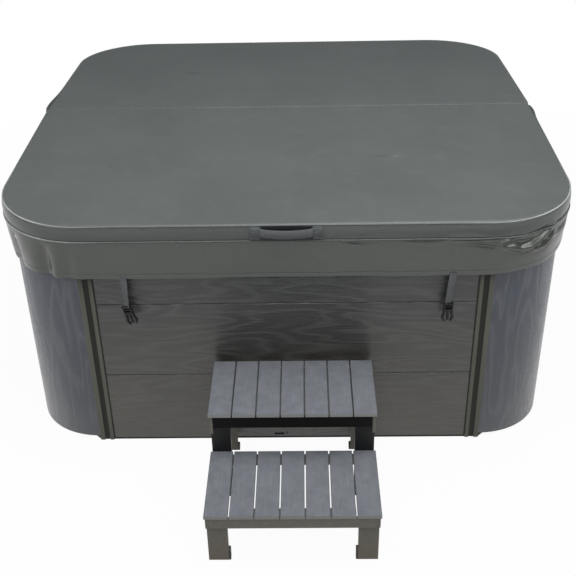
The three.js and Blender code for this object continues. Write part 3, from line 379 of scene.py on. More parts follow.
def wood_figure_group():
    """Arched wood figure of an embossed board, with the grain along the first coordinate."""
    tree, net, source, target = group_tree(
        "wood_figure",
        [("Vector", VECTOR, None), ("Board", FLOAT, 0.312), ("Rings", FLOAT, 9.0),
         ("Seed", FLOAT, 0.0)],
        [("Figure", FLOAT), ("Pores", FLOAT), ("Board Tone", FLOAT)])
    along, across = net.split(source["Vector"])[:2]
    number = net.math("FLOOR", net.math("DIVIDE", across, source["Board"]))
    shift = net.math("ADD", net.math("MULTIPLY", number, 3.37), source["Seed"])
    moved = net.math("ADD", along, shift)
    field = net.noise(
        net.merge(net.math("MULTIPLY", moved, 1.3), net.math("MULTIPLY", across, 8.0), shift),
        1.0, 2.0, 0.45)
    ripple = net.noise(
        net.merge(net.math("MULTIPLY", moved, 9.0), net.math("MULTIPLY", across, 60.0), shift),
        1.0, 2.0, 0.6)
    turned = net.math("MULTIPLY", field, source["Rings"])
    turned = net.math("ADD", turned, net.math("MULTIPLY", ripple, 0.35))
    wave = net.math("SINE", net.math("MULTIPLY", turned, math.tau))
    figure = net.math("MULTIPLY_ADD", wave, 0.5, 0.5)
    net.feed(target["Figure"], net.math("POWER", figure, 2.2))
    pores = net.noise(
        net.merge(net.math("MULTIPLY", moved, 14.0), net.math("MULTIPLY", across, 420.0), shift),
        1.0, 3.0, 0.65)
    net.feed(target["Pores"], net.ramp(pores, 0.42, 0.66))
    tone = net.noise(net.merge(shift, number, 0.0), 5.0, 1.0)
    net.feed(target["Board Tone"], tone)
    return tree


def marine_grain_group():
    """Fine pebble grain of coated cloth, with slow unevenness of tone."""
    tree, net, source, target = group_tree(
        "marine_grain", [("Vector", VECTOR, None), ("Grain", FLOAT, 900.0)],
        [("Height", FLOAT), ("Tone", FLOAT), ("Haze", FLOAT)])
    cells = net.add("ShaderNodeTexVoronoi", feature="SMOOTH_F1")
    net.feed(cells.inputs["Vector"], source["Vector"])
    net.feed(cells.inputs["Scale"], source["Grain"])
    net.feed(target["Height"], cells.outputs["Distance"])
    net.feed(target["Tone"], net.noise(source["Vector"], 2.2, 3.0, 0.55))
    net.feed(target["Haze"], net.noise(source["Vector"], 14.0, 4.0, 0.6))
    return tree


def stitch_group():
    """A row of stitches where the second coordinate has a value."""
    tree, net, source, target = group_tree(
        "stitch_row",
        [("Vector", VECTOR, None), ("At", FLOAT, 0.01), ("Pitch", FLOAT, 0.0065),
         ("Width", FLOAT, 0.0009)],
        [("Mask", FLOAT)])
    along, across = net.split(source["Vector"])[:2]
    off = net.math("ABSOLUTE", net.math("SUBTRACT", across, source["At"]))
    line = net.math("LESS_THAN", off, source["Width"])
    phase = net.math("FRACT", net.math("DIVIDE", along, source["Pitch"]))
    net.feed(target["Mask"], net.math("MULTIPLY", line, net.math("LESS_THAN", phase, 0.68)))
    return tree


def weave_group():
    """Ribs of narrow woven webbing, length along the first coordinate."""
    tree, net, source, target = group_tree(
        "webbing_weave", [("Vector", VECTOR, None), ("Rib", FLOAT, 0.0022)],
        [("Height", FLOAT), ("Tone", FLOAT)])
    along, across = net.split(source["Vector"])[:2]
    rib = net.math("SINE", net.math("MULTIPLY", net.math("DIVIDE", along, source["Rib"]), math.tau))
    cell = net.math("DIVIDE", across, net.math("MULTIPLY", source["Rib"], 0.8))
    yarn = net.math("SINE", net.math("MULTIPLY", cell, math.tau))
    height = net.math("MULTIPLY_ADD", net.math("MULTIPLY", rib, yarn), 0.5, 0.5)
    net.feed(target["Height"], height)
    fuzz = net.noise(source["Vector"], 900.0, 2.0)
    net.feed(target["Tone"], net.math("MULTIPLY_ADD", fuzz, 0.4, net.math("MULTIPLY", height, 0.6)))
    return tree


def scuff_group():
    """Pale dust and small rubs that collect on used plastic."""
    tree, net, source, target = group_tree(
        "scuffs", [("Vector", VECTOR, None), ("Size", FLOAT, 12.0), ("Amount", FLOAT, 0.5)],
        [("Mask", FLOAT)])
    spots = net.noise(source["Vector"], source["Size"], 5.0, 0.7)
    edge = net.math("SUBTRACT", 0.78, net.math("MULTIPLY", source["Amount"], 0.3))
    net.feed(target["Mask"], net.ramp(spots, edge, net.math("ADD", edge, 0.14)))
    return tree


def low_dust_and_shade_group():
    """Pale dust in slow clouds low down on the object. Higher up it fades out, and the darker bare
    colour left there is painted shade under the cover's skirt.
    """
    tree, net, source, target = group_tree(
        "low_dust_and_shade", [("Vector", VECTOR, None), ("Amount", FLOAT, 0.5)], [("Mask", FLOAT)])
    height = net.split(source["Vector"])[2]
    cloud = net.noise(source["Vector"], 3.0, 3.0)
    # The fade to nothing higher up leaves painted shade on the upper boards, under the cover's skirt
    dust = net.math("MULTIPLY", net.ramp(height, 0.15, 0.72, 1.0, 0.0),
                    net.ramp(cloud, 0.25, 0.6, 0.7, 1.0))
    net.feed(target["Mask"], net.math("MULTIPLY", dust, source["Amount"]))
    return tree


def brushed_group():
    """Short brushed streaks along the first coordinate, and a mottled tone."""
    tree, net, source, target = group_tree(
        "brushed", [("Vector", VECTOR, None)], [("Streaks", FLOAT), ("Mottle", FLOAT)])
    along, across, other = net.split(source["Vector"])
    vector = net.merge(net.math("MULTIPLY", along, 12.0), net.math("MULTIPLY", across, 260.0),
                       net.math("MULTIPLY", other, 260.0))
    net.feed(target["Streaks"], net.noise(vector, 1.0, 3.0, 0.6))
    net.feed(target["Mottle"], net.noise(source["Vector"], 26.0, 4.0, 0.6))
    return tree


def moulded_skin_group():
    """The slow cloudiness of moulded plastic, and its fine texture."""
    tree, net, source, target = group_tree(
        "moulded_skin", [("Vector", VECTOR, None)], [("Cloud", FLOAT), ("Texture", FLOAT)])
    net.feed(target["Cloud"], net.noise(source["Vector"], 6.0, 2.0))
    net.feed(target["Texture"], net.noise(source["Vector"], 700.0, 2.0))
    return tree


wood_figure = wood_figure_group()
marine_grain = marine_grain_group()
stitch_row = stitch_group()
webbing_weave = weave_group()
scuffs = scuff_group()
low_dust_and_shade = low_dust_and_shade_group()
brushed = brushed_group()
moulded_skin = moulded_skin_group()


# Finishes

def finish(name, roughness, **settings):
    """A new material with its main shader. Settings are values for the shader's own inputs."""
    made = bpy.data.materials.new(name)
    made.use_nodes = True
    shader = made.node_tree.nodes["Principled BSDF"]
    shader.inputs["Roughness"].default_value = roughness
    for key, value in settings.items():
        shader.inputs[key.replace("_", " ")].default_value = value
    return made, Net(made.node_tree), shader.inputs


def vinyl_finish(name, base, dark, pale, stitches, roughness=0.4, **settings):
    """Coated cloth. Stitches are the heights of its seams' thread on the flat piece."""
    made, net, shader = finish(name, roughness, **settings)
    place = net.place()
    grain = net.group(marine_grain, Vector=place)
    colour = net.mix(net.ramp(grain["Tone"], 0.35, 0.65), tint(dark), tint(base))
    colour = net.mix(net.ramp(grain["Haze"], 0.5, 0.75, 0.0, 0.25), colour, tint(pale))
    height = net.math("MULTIPLY", grain["Height"], 0.25)
    flat = net.flat_place()
    for at in stitches:
        mask = net.group(stitch_row, Vector=flat, At=at)["Mask"]
        colour = net.mix(net.math("MULTIPLY", mask, 0.5), colour, tint(pale))
        height = net.math("ADD", height, net.math("MULTIPLY", mask, 2.0))
    net.feed(shader["Base Color"], colour)
    net.feed(shader["Roughness"],
             net.ramp(grain["Haze"], 0.3, 0.7, roughness - 0.05, roughness + 0.07))
    net.feed(shader["Normal"], net.bump(height, 0.0002, 0.15))
    return made


def webbing_finish(name, base, pale):
    made, net, shader = finish(name, 0.7)
    weave = net.group(webbing_weave, Vector=net.flat_place())
    net.feed(shader["Base Color"], net.mix(weave["Tone"], tint(base), tint(pale)))
    net.feed(shader["Normal"], net.bump(weave["Height"], 0.0006, 0.8))
    return made


def board_finish(name, base, dark, pale, turn, seed=0.0, board=0.312, rings=9.0, roughness=0.23,
                 emboss=0.0008, dust_shade_amount=0.6):
    """Embossed board, pale with dust low down and darker higher up, where the darker colour is painted
    shade under the cover's skirt. turn gives which coordinates run along and across the grain.
    """
    made, net, shader = finish(name, roughness, Specular_IOR_Level=0.8)
    if turn == "uv":
        across, along, other = net.split(net.flat_place())
    else:
        coordinates = dict(zip("xyz", net.split(net.place())))
        along, across, other = (coordinates[letter] for letter in turn)
    vector = net.merge(along, across, other)
    figure = net.group(wood_figure, Vector=vector, Board=board, Rings=rings, Seed=seed)
    colour = net.mix(net.math("MULTIPLY", figure["Figure"], 0.9), tint(base), tint(pale))
    colour = net.mix(net.math("MULTIPLY", figure["Pores"], 0.35), colour, tint(dark))
    colour = net.mix(net.ramp(figure["Board Tone"], 0.3, 0.7, 0.0, 0.3), colour, tint(dark))
    # This mask is partly dust and partly painted shade: the upper boards keep their darker bare colour
    # as the shade under the skirt
    dust = net.group(low_dust_and_shade, Vector=net.place(), Amount=dust_shade_amount)["Mask"]
    net.feed(shader["Base Color"], net.mix(dust, colour, tint("6a655a")))
    height = net.math("ADD", figure["Figure"], net.math("MULTIPLY", figure["Pores"], -0.5))
    net.feed(shader["Normal"], net.bump(height, emboss, 0.6))
    rough = net.ramp(figure["Pores"], 0.0, 1.0, roughness, roughness + 0.12)
    net.feed(shader["Roughness"], rough)
    return made


def plastic_finish(name, base, pale, roughness, scuff, size=20.0, **settings):
    """Moulded plastic or coated metal, with fine texture and light scuffs."""
    made, net, shader = finish(name, roughness, **settings)
    place = net.place()
    mask = net.group(scuffs, Vector=place, Size=size, Amount=scuff)["Mask"]
    skin = net.group(moulded_skin, Vector=place)
    colour = net.mix(net.ramp(skin["Cloud"], 0.3, 0.7, 0.0, 0.35), tint(base), tint(pale))
    net.feed(shader["Base Color"], net.mix(net.math("MULTIPLY", mask, 0.35), colour, tint(pale)))
    net.feed(shader["Roughness"], net.ramp(mask, 0.0, 1.0, roughness, roughness + 0.15))
    net.feed(shader["Normal"], net.bump(skin["Texture"], 0.0002, 0.35))
    return made


cover_vinyl = vinyl_finish("cover_vinyl", "696d6c", "646867", "777b7a", [0.009, -0.009], 0.3)
skirt_vinyl = vinyl_finish("skirt_vinyl", "4d524d", "474c47", "5d625d", [0.018, 0.138], 0.27,
                           Specular_IOR_Level=0.9)


def welt_finish():
    """Piping: the same vinyl pulled tight, with a painted highlight that makes it pale round the cover's
    corners, where lamps gleam on it.
    """
    made, net, shader = finish("welt_vinyl", 0.22)
    x, y, z = net.split(net.place())
    past_x = net.ramp(net.math("ABSOLUTE", x), cover_x - cover_corner - 0.1, cover_x - 0.08)
    past_y = net.ramp(net.math("ABSOLUTE", y), cover_y - cover_corner - 0.2, cover_y - 0.05)
    rub = net.ramp(net.noise(net.place(), 9.0, 3.0), 0.3, 0.6, 0.6, 1.0)
    # corner masks the painted highlight round the cover's corners. no_highlight leaves it off the lower
    # piping on the right
    corner = net.math("MULTIPLY", net.math("MULTIPLY", past_x, past_y), rub)
    no_highlight = net.math("MULTIPLY", net.ramp(z, 0.92, 0.93, 1.0, 0.0), net.ramp(x, -0.2, 0.4))
    corner = net.math("MULTIPLY", corner, net.math("SUBTRACT", 1.0, no_highlight))
    net.feed(shader["Base Color"], net.mix(corner, tint("6e7371"), tint("cfd3d3")))
    net.feed(shader["Roughness"], net.ramp(rub, 0.6, 1.0, 0.2, 0.3))
    return made


welt_vinyl = welt_finish()
# Near black vinyl for the handle's backing, which also paints the shade behind the handle
backing_and_shade_vinyl = plastic_finish("backing_and_shade_vinyl", "232627", "2f3233", 0.5, 0.2)
liner = plastic_finish("cover_liner", "a4a7a6", "b4b7b6", 0.5, 0.3, 9.0)
webbing = webbing_finish("grey_webbing", "585b5b", "92969a")
clip_plastic = plastic_finish("clip_plastic", "0b0b0d", "222226", 0.22, 0.2, 60.0,
                              Specular_IOR_Level=0.3)
front_boards = board_finish("front_boards", "2c2e31", "232527", "555756", "xzy", 0.0, rings=13.0)
rear_boards = board_finish("rear_boards", "2c2e31", "232527", "555756", "xzy", 5.2, rings=13.0)
side_boards = board_finish("side_boards", "2c2e31", "232527", "555756", "yzx", 2.6, rings=13.0)
corner_boards = board_finish("corner_boards", "40465a", "353a4a", "6b707d", "uv", 1.7, 10.0, 11.0,
                             dust_shade_amount=0.12)
acrylic = plastic_finish("shell_acrylic", "cdd1d3", "e4e6e7", 0.12, 0.1, 5.0)


def trim_finish():
    """Extruded trim: olive grey ridges beside a groove that is darkened with painted shade."""
    made, net, shader = finish("trim_plastic", 0.42, Specular_IOR_Level=0.2)
    place = net.place()
    x, y = net.split(place)[:2]
    proud = net.math("MAXIMUM", net.math("SUBTRACT", net.math("ABSOLUTE", x), tub_half_x),
                     net.math("SUBTRACT", net.math("ABSOLUTE", y), tub_half_y))
    groove_shade = net.ramp(proud, 0.0022, 0.0048, 1.0, 0.0)
    cloud = net.noise(place, 5.0, 3.0)
    colour = net.mix(net.ramp(cloud, 0.3, 0.7), tint("777970"), tint("83857c"))
    rub = net.group(scuffs, Vector=place, Size=40.0, Amount=0.25)["Mask"]
    colour = net.mix(net.math("MULTIPLY", rub, 0.3), colour, tint("93958c"))
    # The near black mix in the groove is painted shade
    net.feed(shader["Base Color"], net.mix(net.math("MULTIPLY", groove_shade, 0.88), colour, tint("20221d")))
    net.feed(shader["Normal"], net.bump(net.noise(place, 600.0, 2.0), 0.0002, 0.3))
    net.feed(shader["Roughness"], net.ramp(rub, 0.0, 1.0, 0.36, 0.5))
    return made


trim_plastic = trim_finish()


def composite_finish(name, base, dark, pale, turn, roughness=0.55, **settings):
    """Wood and plastic composite. turn gives which coordinates run along and across the streaks."""
    made, net, shader = finish(name, roughness, **settings)
    coordinates = dict(zip("xyz", net.split(net.place())))
    vector = net.merge(*(coordinates[letter] for letter in turn))
    marks = net.group(brushed, Vector=vector)
    streaks, mottle = marks["Streaks"], marks["Mottle"]
    colour = net.mix(net.ramp(mottle, 0.35, 0.68), tint(dark), tint(base))
    colour = net.mix(net.ramp(streaks, 0.55, 0.8, 0.0, 0.55), colour, tint(pale))
    net.feed(shader["Base Color"], colour)
    net.feed(shader["Normal"], net.bump(net.math("ADD", streaks, mottle), 0.0005, 0.5))
    net.feed(shader["Roughness"], net.ramp(mottle, 0.3, 0.7, roughness - 0.06, roughness + 0.08))
    return made, net, shader, colour


def slat_finish():
    """Slats: brushed cool grey, paler where their front ends were sawn."""
    made, net, shader, colour = composite_finish(
        "slat_board", "7f8289", "73767d", "999ba0", "yxz")
    facing = net.split(net.add("ShaderNodeNewGeometry").outputs["Normal"])[1]
    sawn = net.math("LESS_THAN", facing, -0.6)
    net.feed(shader["Base Color"], net.mix(net.math("MULTIPLY", sawn, 0.8), colour, tint("c9cac8")))
    return made


slat_board = slat_finish()
apron_board = composite_finish("apron_board", "98958d", "89867e", "a8a59d", "xzy", 0.5)[0]
dark_board = composite_finish("dark_board", "0e0e0e", "0a0a0a", "161615", "xzy", 0.75,
                              Specular_IOR_Level=0.25)[0]


def step_side_finish():
    """Side frames: warm grey boards, with near black legs under the upper tread, black feet, and painted
    shade that darkens the rear legs.
    """
    made, net, shader, colour = composite_finish(
        "step_side_board", "928e85", "827e75", "a29e95", "zxy", 0.5)
    rear_leg_front, foot_high, rear_foot_drop, foot_half_x = -1.15, 0.0448, 0.021, 0.2183
    dark_front, dark_back, dark_half_x, dark_top = -1.3712, -1.3483, 0.2867, 0.3738
    x, y, z = net.split(net.place())
    warm = net.ramp(z, 0.0, 0.11, 0.55, 0.0)
    colour = net.mix(warm, colour, tint("857462"))
    off = net.math("ABSOLUTE", net.math("SUBTRACT", x, steps_x))
    rear = net.math("GREATER_THAN", y, rear_leg_front)
    foot_top = net.math("SUBTRACT", foot_high, net.math("MULTIPLY", rear, rear_foot_drop))
    low = net.math("LESS_THAN", z, foot_top)
    foot = net.math("MULTIPLY", low, net.math("LESS_THAN", off, foot_half_x))
    behind = net.math("GREATER_THAN", y, dark_front)
    ahead = net.math("LESS_THAN", y, dark_back)
    within = net.math("LESS_THAN", off, dark_half_x)
    below = net.math("LESS_THAN", z, dark_top)
    dark = net.math("MULTIPLY", net.math("MULTIPLY", behind, ahead),
                    net.math("MULTIPLY", within, below))
    # Painted shade: the rear legs under the upper tread are darkened by half
    colour = net.mix(net.math("MULTIPLY", rear, 0.5), colour, tint("55574f"))
    colour = net.mix(net.math("MAXIMUM", foot, dark), colour, tint("0f0f10"))
    net.feed(shader["Base Color"], colour)
    return made


step_side_board = step_side_finish()
tray_plastic = plastic_finish("tray_plastic", "232527", "35373a", 0.5, 0.4)
frame_steel = plastic_finish("frame_steel", "8d9193", "a4a8aa", 0.38, 0.3, 30.0, Metallic=0.9)
pump_paint = plastic_finish("pump_paint", "2a2c31", "43464c", 0.4, 0.4)
pipe_plastic = plastic_finish("pipe_plastic", "dcdcd6", "e9e9e4", 0.35, 0.2)
box_plastic = plastic_finish("box_plastic", "2b2d30", "3c3f43", 0.45, 0.3)
fitting_plastic = plastic_finish("fitting_plastic", "80868b", "9ba0a5", 0.28, 0.2)
dark_plastic = plastic_finish("dark_plastic", "202327", "34383d", 0.3, 0.2)
pillow_skin = vinyl_finish("pillow_skin", "33363b", "2b2e33", "4a4e54", [])


def dress(piece, material):
    piece.data.materials.clear()
    piece.data.materials.append(material)
    return piece


# The finish of each CAD node, by a word in its name. The first that fits is used
node_looks = [
    ("front_panel", front_boards), ("rear_panel", rear_boards), ("left_panel", side_boards),
    ("right_panel", side_boards), ("trim_", trim_plastic), ("_slat_", slat_board),
    ("step_side", step_side_board), ("upper_front_apron", dark_board), ("_apron", apron_board),
    ("_rail", apron_board), ("base_tray", tray_plastic), ("frame", frame_steel),
    ("jet_pump", pump_paint), ("suction_pipe", pipe_plastic), ("control_box", box_plastic),
    ("tub_shell", acrylic), ("pillow", pillow_skin), ("clip", clip_plastic), ("", fitting_plastic),
]
for name, piece in nodes.items():
    dress(piece, next(material for word, material in node_looks if word in name))


# The cover: outline, creases and heights that its pieces share

def line_run(start, end, normal):
    """A straight stretch of an edge: its length, and (point, way out) at a share of it."""
    start, end, normal = Vector(start), Vector(end), Vector(normal)
    length = (end - start).length
    return length, lambda share: (start.lerp(end, share), normal)


def arc_run(centre, radius, first, last):
    """A round stretch of an edge, told as a straight one is."""
    centre = Vector(centre)
    length = radius * abs(last - first)

    def at(share):
        angle = first + (last - first) * share
        out = Vector((math.cos(angle), math.sin(angle)))
        return centre + out * radius, out

    return length, at


def half_runs():
    """The outer edge of the front half, from the seam's left end round to its right end."""
    left, right = -cover_x, cover_x
    top, bottom = -seam_gap / 2, -cover_y
    notch, radius, quarter = seam_notch, cover_corner, math.pi / 2
    return [
        arc_run((left + notch, top - notch), notch, quarter, 2 * quarter),
        line_run((left, top - notch), (left, bottom + radius), (-1, 0)),
        arc_run((left + radius, bottom + radius), radius, 2 * quarter, 3 * quarter),
        line_run((left + radius, bottom), (right - radius, bottom), (0, -1)),
        arc_run((right - radius, bottom + radius), radius, 3 * quarter, 4 * quarter),
        line_run((right, bottom + radius), (right, top - notch), (1, 0)),
        arc_run((right - notch, top - notch), notch, 4 * quarter, 5 * quarter),
    ]


def stations(runs, step):
    """(point, way out, length so far) along runs of lines and arcs."""
    found = []
    done = 0.0
    for length, at in runs:
        count = max(2, round(length / step))
        for i in range(count):
            point, out = at(i / count)
            found.append((point, out, done + length * i / count))
        done += length
    point, out = runs[-1][1](1.0)
    found.append((point, out, done))
    return found


edge_runs = half_runs()
edge_length = sum(length for length, at in edge_runs)
corner_start = {"left": edge_runs[0][0] + edge_runs[1][0]}
corner_start["right"] = corner_start["left"] + edge_runs[2][0] + edge_runs[3][0]
corner_length = edge_runs[2][0]

# Creases of the front half: slanting ones right of the handle and at the right corner, then
# upright folds that hang at the left corner. Each has its points, as length along the edge and
# height, then its ridge's half width and height
front_creases = [
    ([(2.56, 0.893), (2.638, 0.888), (2.70, 0.879), (2.756, 0.886), (2.82, 0.895)], 0.011, 0.011),
    ([(2.72, 0.866), (2.80, 0.841), (2.845, 0.845), (2.88, 0.864), (2.915, 0.881), (2.95, 0.90)],
     0.012, 0.015),
    ([(2.86, 0.826), (2.91, 0.827), (2.94, 0.849), (2.96, 0.868)], 0.010, 0.009),
    ([(2.76, 0.903), (2.852, 0.909), (2.94, 0.920)], 0.008, 0.004),
    ([(2.96, 0.852), (3.022, 0.857), (3.07, 0.872)], 0.012, 0.008),
    ([(2.34, 0.889), (2.46, 0.879), (2.57, 0.886)], 0.011, 0.004),
    ([(2.571, 0.892), (2.573, 0.835)], 0.007, 0.003),
    ([(2.18, 0.895), (2.24, 0.890), (2.31, 0.893)], 0.009, 0.004),
    ([(1.060, 0.895), (1.050, 0.75)], 0.040, 0.007),
    ([(0.975, 0.895), (0.955, 0.75)], 0.022, -0.006),
    ([(1.137, 0.895), (1.124, 0.75)], 0.021, -0.008),
    ([(1.180, 0.895), (1.172, 0.75)], 0.022, 0.005),
    ([(1.228, 0.895), (1.218, 0.75)], 0.020, -0.004),
    ([(1.36, 0.895), (1.38, 0.75)], 0.030, 0.002),
]
rear_creases = [
    ([(1.02, 0.885), (1.08, 0.850), (1.16, 0.842)], 0.013, 0.008),
    ([(1.10, 0.868), (1.18, 0.834), (1.26, 0.842)], 0.012, 0.006),
    ([(2.72, 0.866), (2.80, 0.841), (2.88, 0.860), (2.93, 0.885)], 0.012, 0.010),
    ([(0.42, 0.892), (0.52, 0.886)], 0.012, 0.004),
]


def crease_swell(creases, along, z):
    """How far creases push the vinyl out at a place: a ridge between two shallow valleys.

    A slanting crease fades at both ends and is steeper below. An upright one grows to the hem."""
    total = 0.0
    here = Vector((along, z))
    for points, width, height in creases:
        if not points[0][0] - 0.1 < along < points[-1][0] + 0.1:
            continue
        nearest, share, above = 1.0, 0.0, True
        spans = len(points) - 1
        for number in range(spans):
            start, end = Vector(points[number]), Vector(points[number + 1])
            part = (here - start).dot(end - start) / (end - start).length_squared
            part = max(0.0, min(1.0, part))
            foot = start.lerp(end, part)
            gap = (here - foot).length
            if gap < nearest:
                nearest, share, above = gap, (number + part) / spans, z > foot.y
        if abs(points[-1][0] - points[0][0]) > 0.03:
            taper = math.sin(math.pi * (0.1 + 0.8 * share))
            nearest *= 0.85 if above else 1.5
        else:
            taper = math.sin(math.pi / 2 * share) ** 0.7
        ridge = math.exp(-(nearest / width) ** 2)
        valley = 0.3 * math.exp(-((nearest - 2.1 * width) / width) ** 2)
        total += height * taper * (ridge - valley)
    return total


def seam_bulge(along, front):
    """How far a half stands proud near its edge's end, right in front and left behind."""
    near_end = edge_length - along
    if front:
        return 0.007 * math.exp(-((near_end - 0.08) / 0.06) ** 2)
    return 0.013 * math.exp(-((near_end - 0.09) / 0.13) ** 2)


def hem_taper(along):
    """How far the skirt's hem is drawn in: most at the round corners, less along the sides."""
    total = 0.003
    for side, most in (("left", 0.011), ("right", 0.014)):
        middle = corner_start[side] + corner_length / 2
        total += most * math.exp(-((along - middle) / (0.62 * corner_length)) ** 2)
    return total


def edge_gap(x, y):
    """How far a place on the front half lies inside the cover's outer edge."""
    over_x = abs(x) - (cover_x - cover_corner)
    over_y = -y - (cover_y - cover_corner)
    if over_x > 0 and over_y > 0:
        return cover_corner - math.hypot(over_x, over_y)
    return cover_corner - max(over_x, over_y)


def top_height(y):
    """The height of the cover's top, which falls from its ridge to its front edge."""
    return ridge_top + (ridge_top - edge_top) * y / cover_y


def top_surface(x, y, seed):
    """The jacket's top: a slope that is a little slack, and rolls over at the seams."""
    outer = max(0.0, edge_gap(x, y))
    inner = max(0.0, -y - seam_gap / 2)
    wave = noise.noise(Vector((x * 2.1 + seed, y * 2.1, seed))) * 0.0022
    wave += noise.noise(Vector((x * 7 + seed, y * 7, seed))) * 0.0005
    calm = (1 - math.exp(-outer / 0.05)) * (1 - math.exp(-inner / 0.06))
    roll = edge_roll * math.exp(-outer / 0.0062) + seam_roll * math.exp(-inner / 0.006)
    slack = 0.0030
    return top_height(y) + (wave - slack) * calm - roll


def jacket(name, front, creases, seed):
    """A foam half in its sewn vinyl jacket: crowned side band, flat tapered top, flat underside."""
    loop = [(point, out, along, True) for point, out, along in stations(edge_runs, 0.009)]
    start = loop[-1][0]
    span = start.x - loop[0][0].x
    count = round(span / 0.02)
    for i in range(1, count):
        point = Vector((start.x - span * i / count, -seam_gap / 2))
        loop.append((point, Vector((0, 1)), edge_length + span * i / count, False))
    middle_y = -(cover_y + seam_gap / 2) / 2
    spine = cover_x - cover_y / 2

    def spine_point(point):
        return Vector((max(-spine, min(spine, point.x)), middle_y))

    def reach(point):
        return (spine_point(point) - point).length

    # Rows near the edge by their distance from it, and the others by their share of the way in
    near = [0.0, 0.003, 0.007, 0.013, 0.022, 0.036, 0.058]
    shares = [i / 15 for i in range(1, 16)]
    rows, uvs = [], []

    def add_row(make):
        line = [make(*station) for station in loop]
        rows.append([place for place, uv in line])
        flat = [uv for place, uv in line]
        flat.append((edge_length + span, flat[0][1]))
        uvs.append(flat)

    def flat_row(top, distance=None, share=None):
        def make(point, out, along, outer):
            base = near[-1] / reach(point)
            way_in = distance / reach(point) if share is None else base + (0.985 - base) * share
            place = point.lerp(spine_point(point), way_in)
            gap = way_in * reach(point)
            bulge = seam_bulge(along, front) * max(0.0, 1 - gap / 0.2) if outer else 0.0
            place = place + out * bulge
            if top:
                return (place.x, place.y, top_surface(place.x, place.y, seed)), (along, gap)
            under = cover_under + under_roll * math.exp(-gap / 0.006)
            return (place.x, place.y, under), (along, -0.2 - gap)
        return make

    def side_row(share):
        def make(point, out, along, outer):
            high = top_height(point.y) - (edge_roll if outer else seam_roll)
            z = cover_under + under_roll + share * (high - cover_under - under_roll)
            push = 0.0
            if outer:
                push = 0.0030 * math.sin(math.pi * share) ** 0.75 + seam_bulge(along, front)
                push += crease_swell(creases, along, z) * min(1.0, 3 * (1 - share))
                ripple = noise.noise(Vector((along * 9, z * 30, seed)))
                push += ripple * 0.0012 * math.sin(math.pi * share)
            place = point + out * push
            return (place.x, place.y, z), (along, -(high - z) - 0.001)
        return make

    for share in reversed(shares[::2]):
        add_row(flat_row(False, share=share))
    for distance in reversed(near[::2]):
        add_row(flat_row(False, distance=distance))
    steps = 10
    for i in range(1, steps):
        add_row(side_row(i / steps))
    for distance in near:
        add_row(flat_row(True, distance=distance))
    for share in shares:
        add_row(flat_row(True, share=share))
    piece = woven(name, rows, uvs, wrap=True, caps=True)
    outward(piece)
    bpy.ops.object.shade_smooth()
    dress(piece, cover_vinyl)
    piece.data.materials.append(liner)
    for face in piece.data.polygons:
        if face.normal.z < -0.9 and face.center.z < cover_under + 0.01:
            face.material_index = 1
    return piece


def skirt_fold(along, down, folds, seed):
    """Hanging folds round the two corners, deeper towards the hem. down is the share of the drop."""
    total = 0.0
    past_corner = 0.13
    for side, depth, count in folds:
        begin = corner_start[side] - past_corner
        share = (along - begin) / (corner_length + 2 * past_corner)
        if 0 < share < 1:
            drift = 0.35 * noise.noise(Vector((along * 3, seed, 0)))
            ripple = (1 - math.cos((share * count + drift) * math.tau)) / 2
            total += depth * math.sin(share * math.pi) * ripple * down ** 0.8
    return total


def skirt(name, front, creases, folds, seed):
    """The vinyl skirt that hangs from the lower seam, with a turned hem."""
    line = stations(edge_runs, 0.0065)
    levels = sorted([i / 40 for i in range(41) if not 0.85 < i / 40 < 0.88] + [0.862, 0.872])
    turned_hem = 0.87
    top = cover_under + 0.004
    rows, uvs = [], []
    for down in levels:
        z = top - down * (top - hem_height)
        row, flat = [], []
        for point, out, along in line:
            push = 0.0012 - hem_taper(along) * down ** 1.3 + seam_bulge(along, front) * (1 - 0.6 * down)
            push += skirt_fold(along, down, folds, seed)
            push += crease_swell(creases, along, z) * min(1.0, 8 * down + 0.25)
            soft = noise.noise(Vector((along * 5.0, z * 4.0, seed)))
            push += (soft * 0.0045 + 0.001) * math.sin(min(1.0, down * 1.1) * math.pi / 2)
            fine = noise.noise(Vector((along * 26.0, z * 30.0, seed + 3)))
            push += fine * 0.0008 * math.sin(down * math.pi)
            if down > turned_hem:
                push += 0.0011
            if down < 0.15:
                push = max(push, 0.0006)
            place = point + out * push
            sag = 0.0025 * noise.noise(Vector((along * 2.4, seed, 5.0))) * down
            row.append((place.x, place.y, z + sag))
            flat.append((along, (1 - down) * (top - hem_height)))
        rows.append(row)
        uvs.append(flat)
    piece = woven(name, rows, uvs)
    outward(piece)
    thickened(piece, 0.0012, 0.0)
    bpy.ops.object.shade_smooth()
    dress(piece, skirt_vinyl)
    return piece


def turned_half(piece):
    """The rear half is drawn as a front half and turned half a turn."""
    piece.data.transform(Matrix.Rotation(math.pi, 4, "Z"))
    return piece


def welts(name, front, creases):
    """The piped seams over and under the side band."""
    upper_in, upper_down = 0.0034, 0.0072
    lower_out, lower_z = 0.0026, cover_under + 0.0024
    upper, lower = [], []
    for point, out, along in stations(edge_runs, 0.012):
        push = seam_bulge(along, front)
        place = point + out * (push - upper_in)
        upper.append((place.x, place.y, top_height(point.y) - upper_down))
        place = point + out * (push + lower_out + crease_swell(creases, along, lower_z) * 0.7)
        lower.append((place.x, place.y, lower_z))
    return join([cord_of(name + "_upper", upper, 0.0030), cord_of(name + "_lower", lower, 0.0028)],
                name)


def build_cover():
    """Both halves of the cover: a jacket, its skirt and its piping."""
    for half, front, creases, seed, folds in (
        ("front", True, front_creases, 1.3, [("left", 0.002, 3), ("right", 0.002, 3)]),
        ("rear", False, rear_creases, 6.1, [("left", 0.007, 4), ("right", 0.009, 4)]),
    ):
        body = half + "_half"
        foam = jacket("cover_jacket_" + half, front, creases, seed)
        apron = skirt("cover_skirt_" + half, front, creases, folds, seed)
        piping = dress(welts("cover_piping_" + half, front, creases), welt_vinyl)
        for piece in (foam, apron, piping):
            if not front:
                turned_half(piece)
            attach(piece, body)
        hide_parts("cover_" + half)


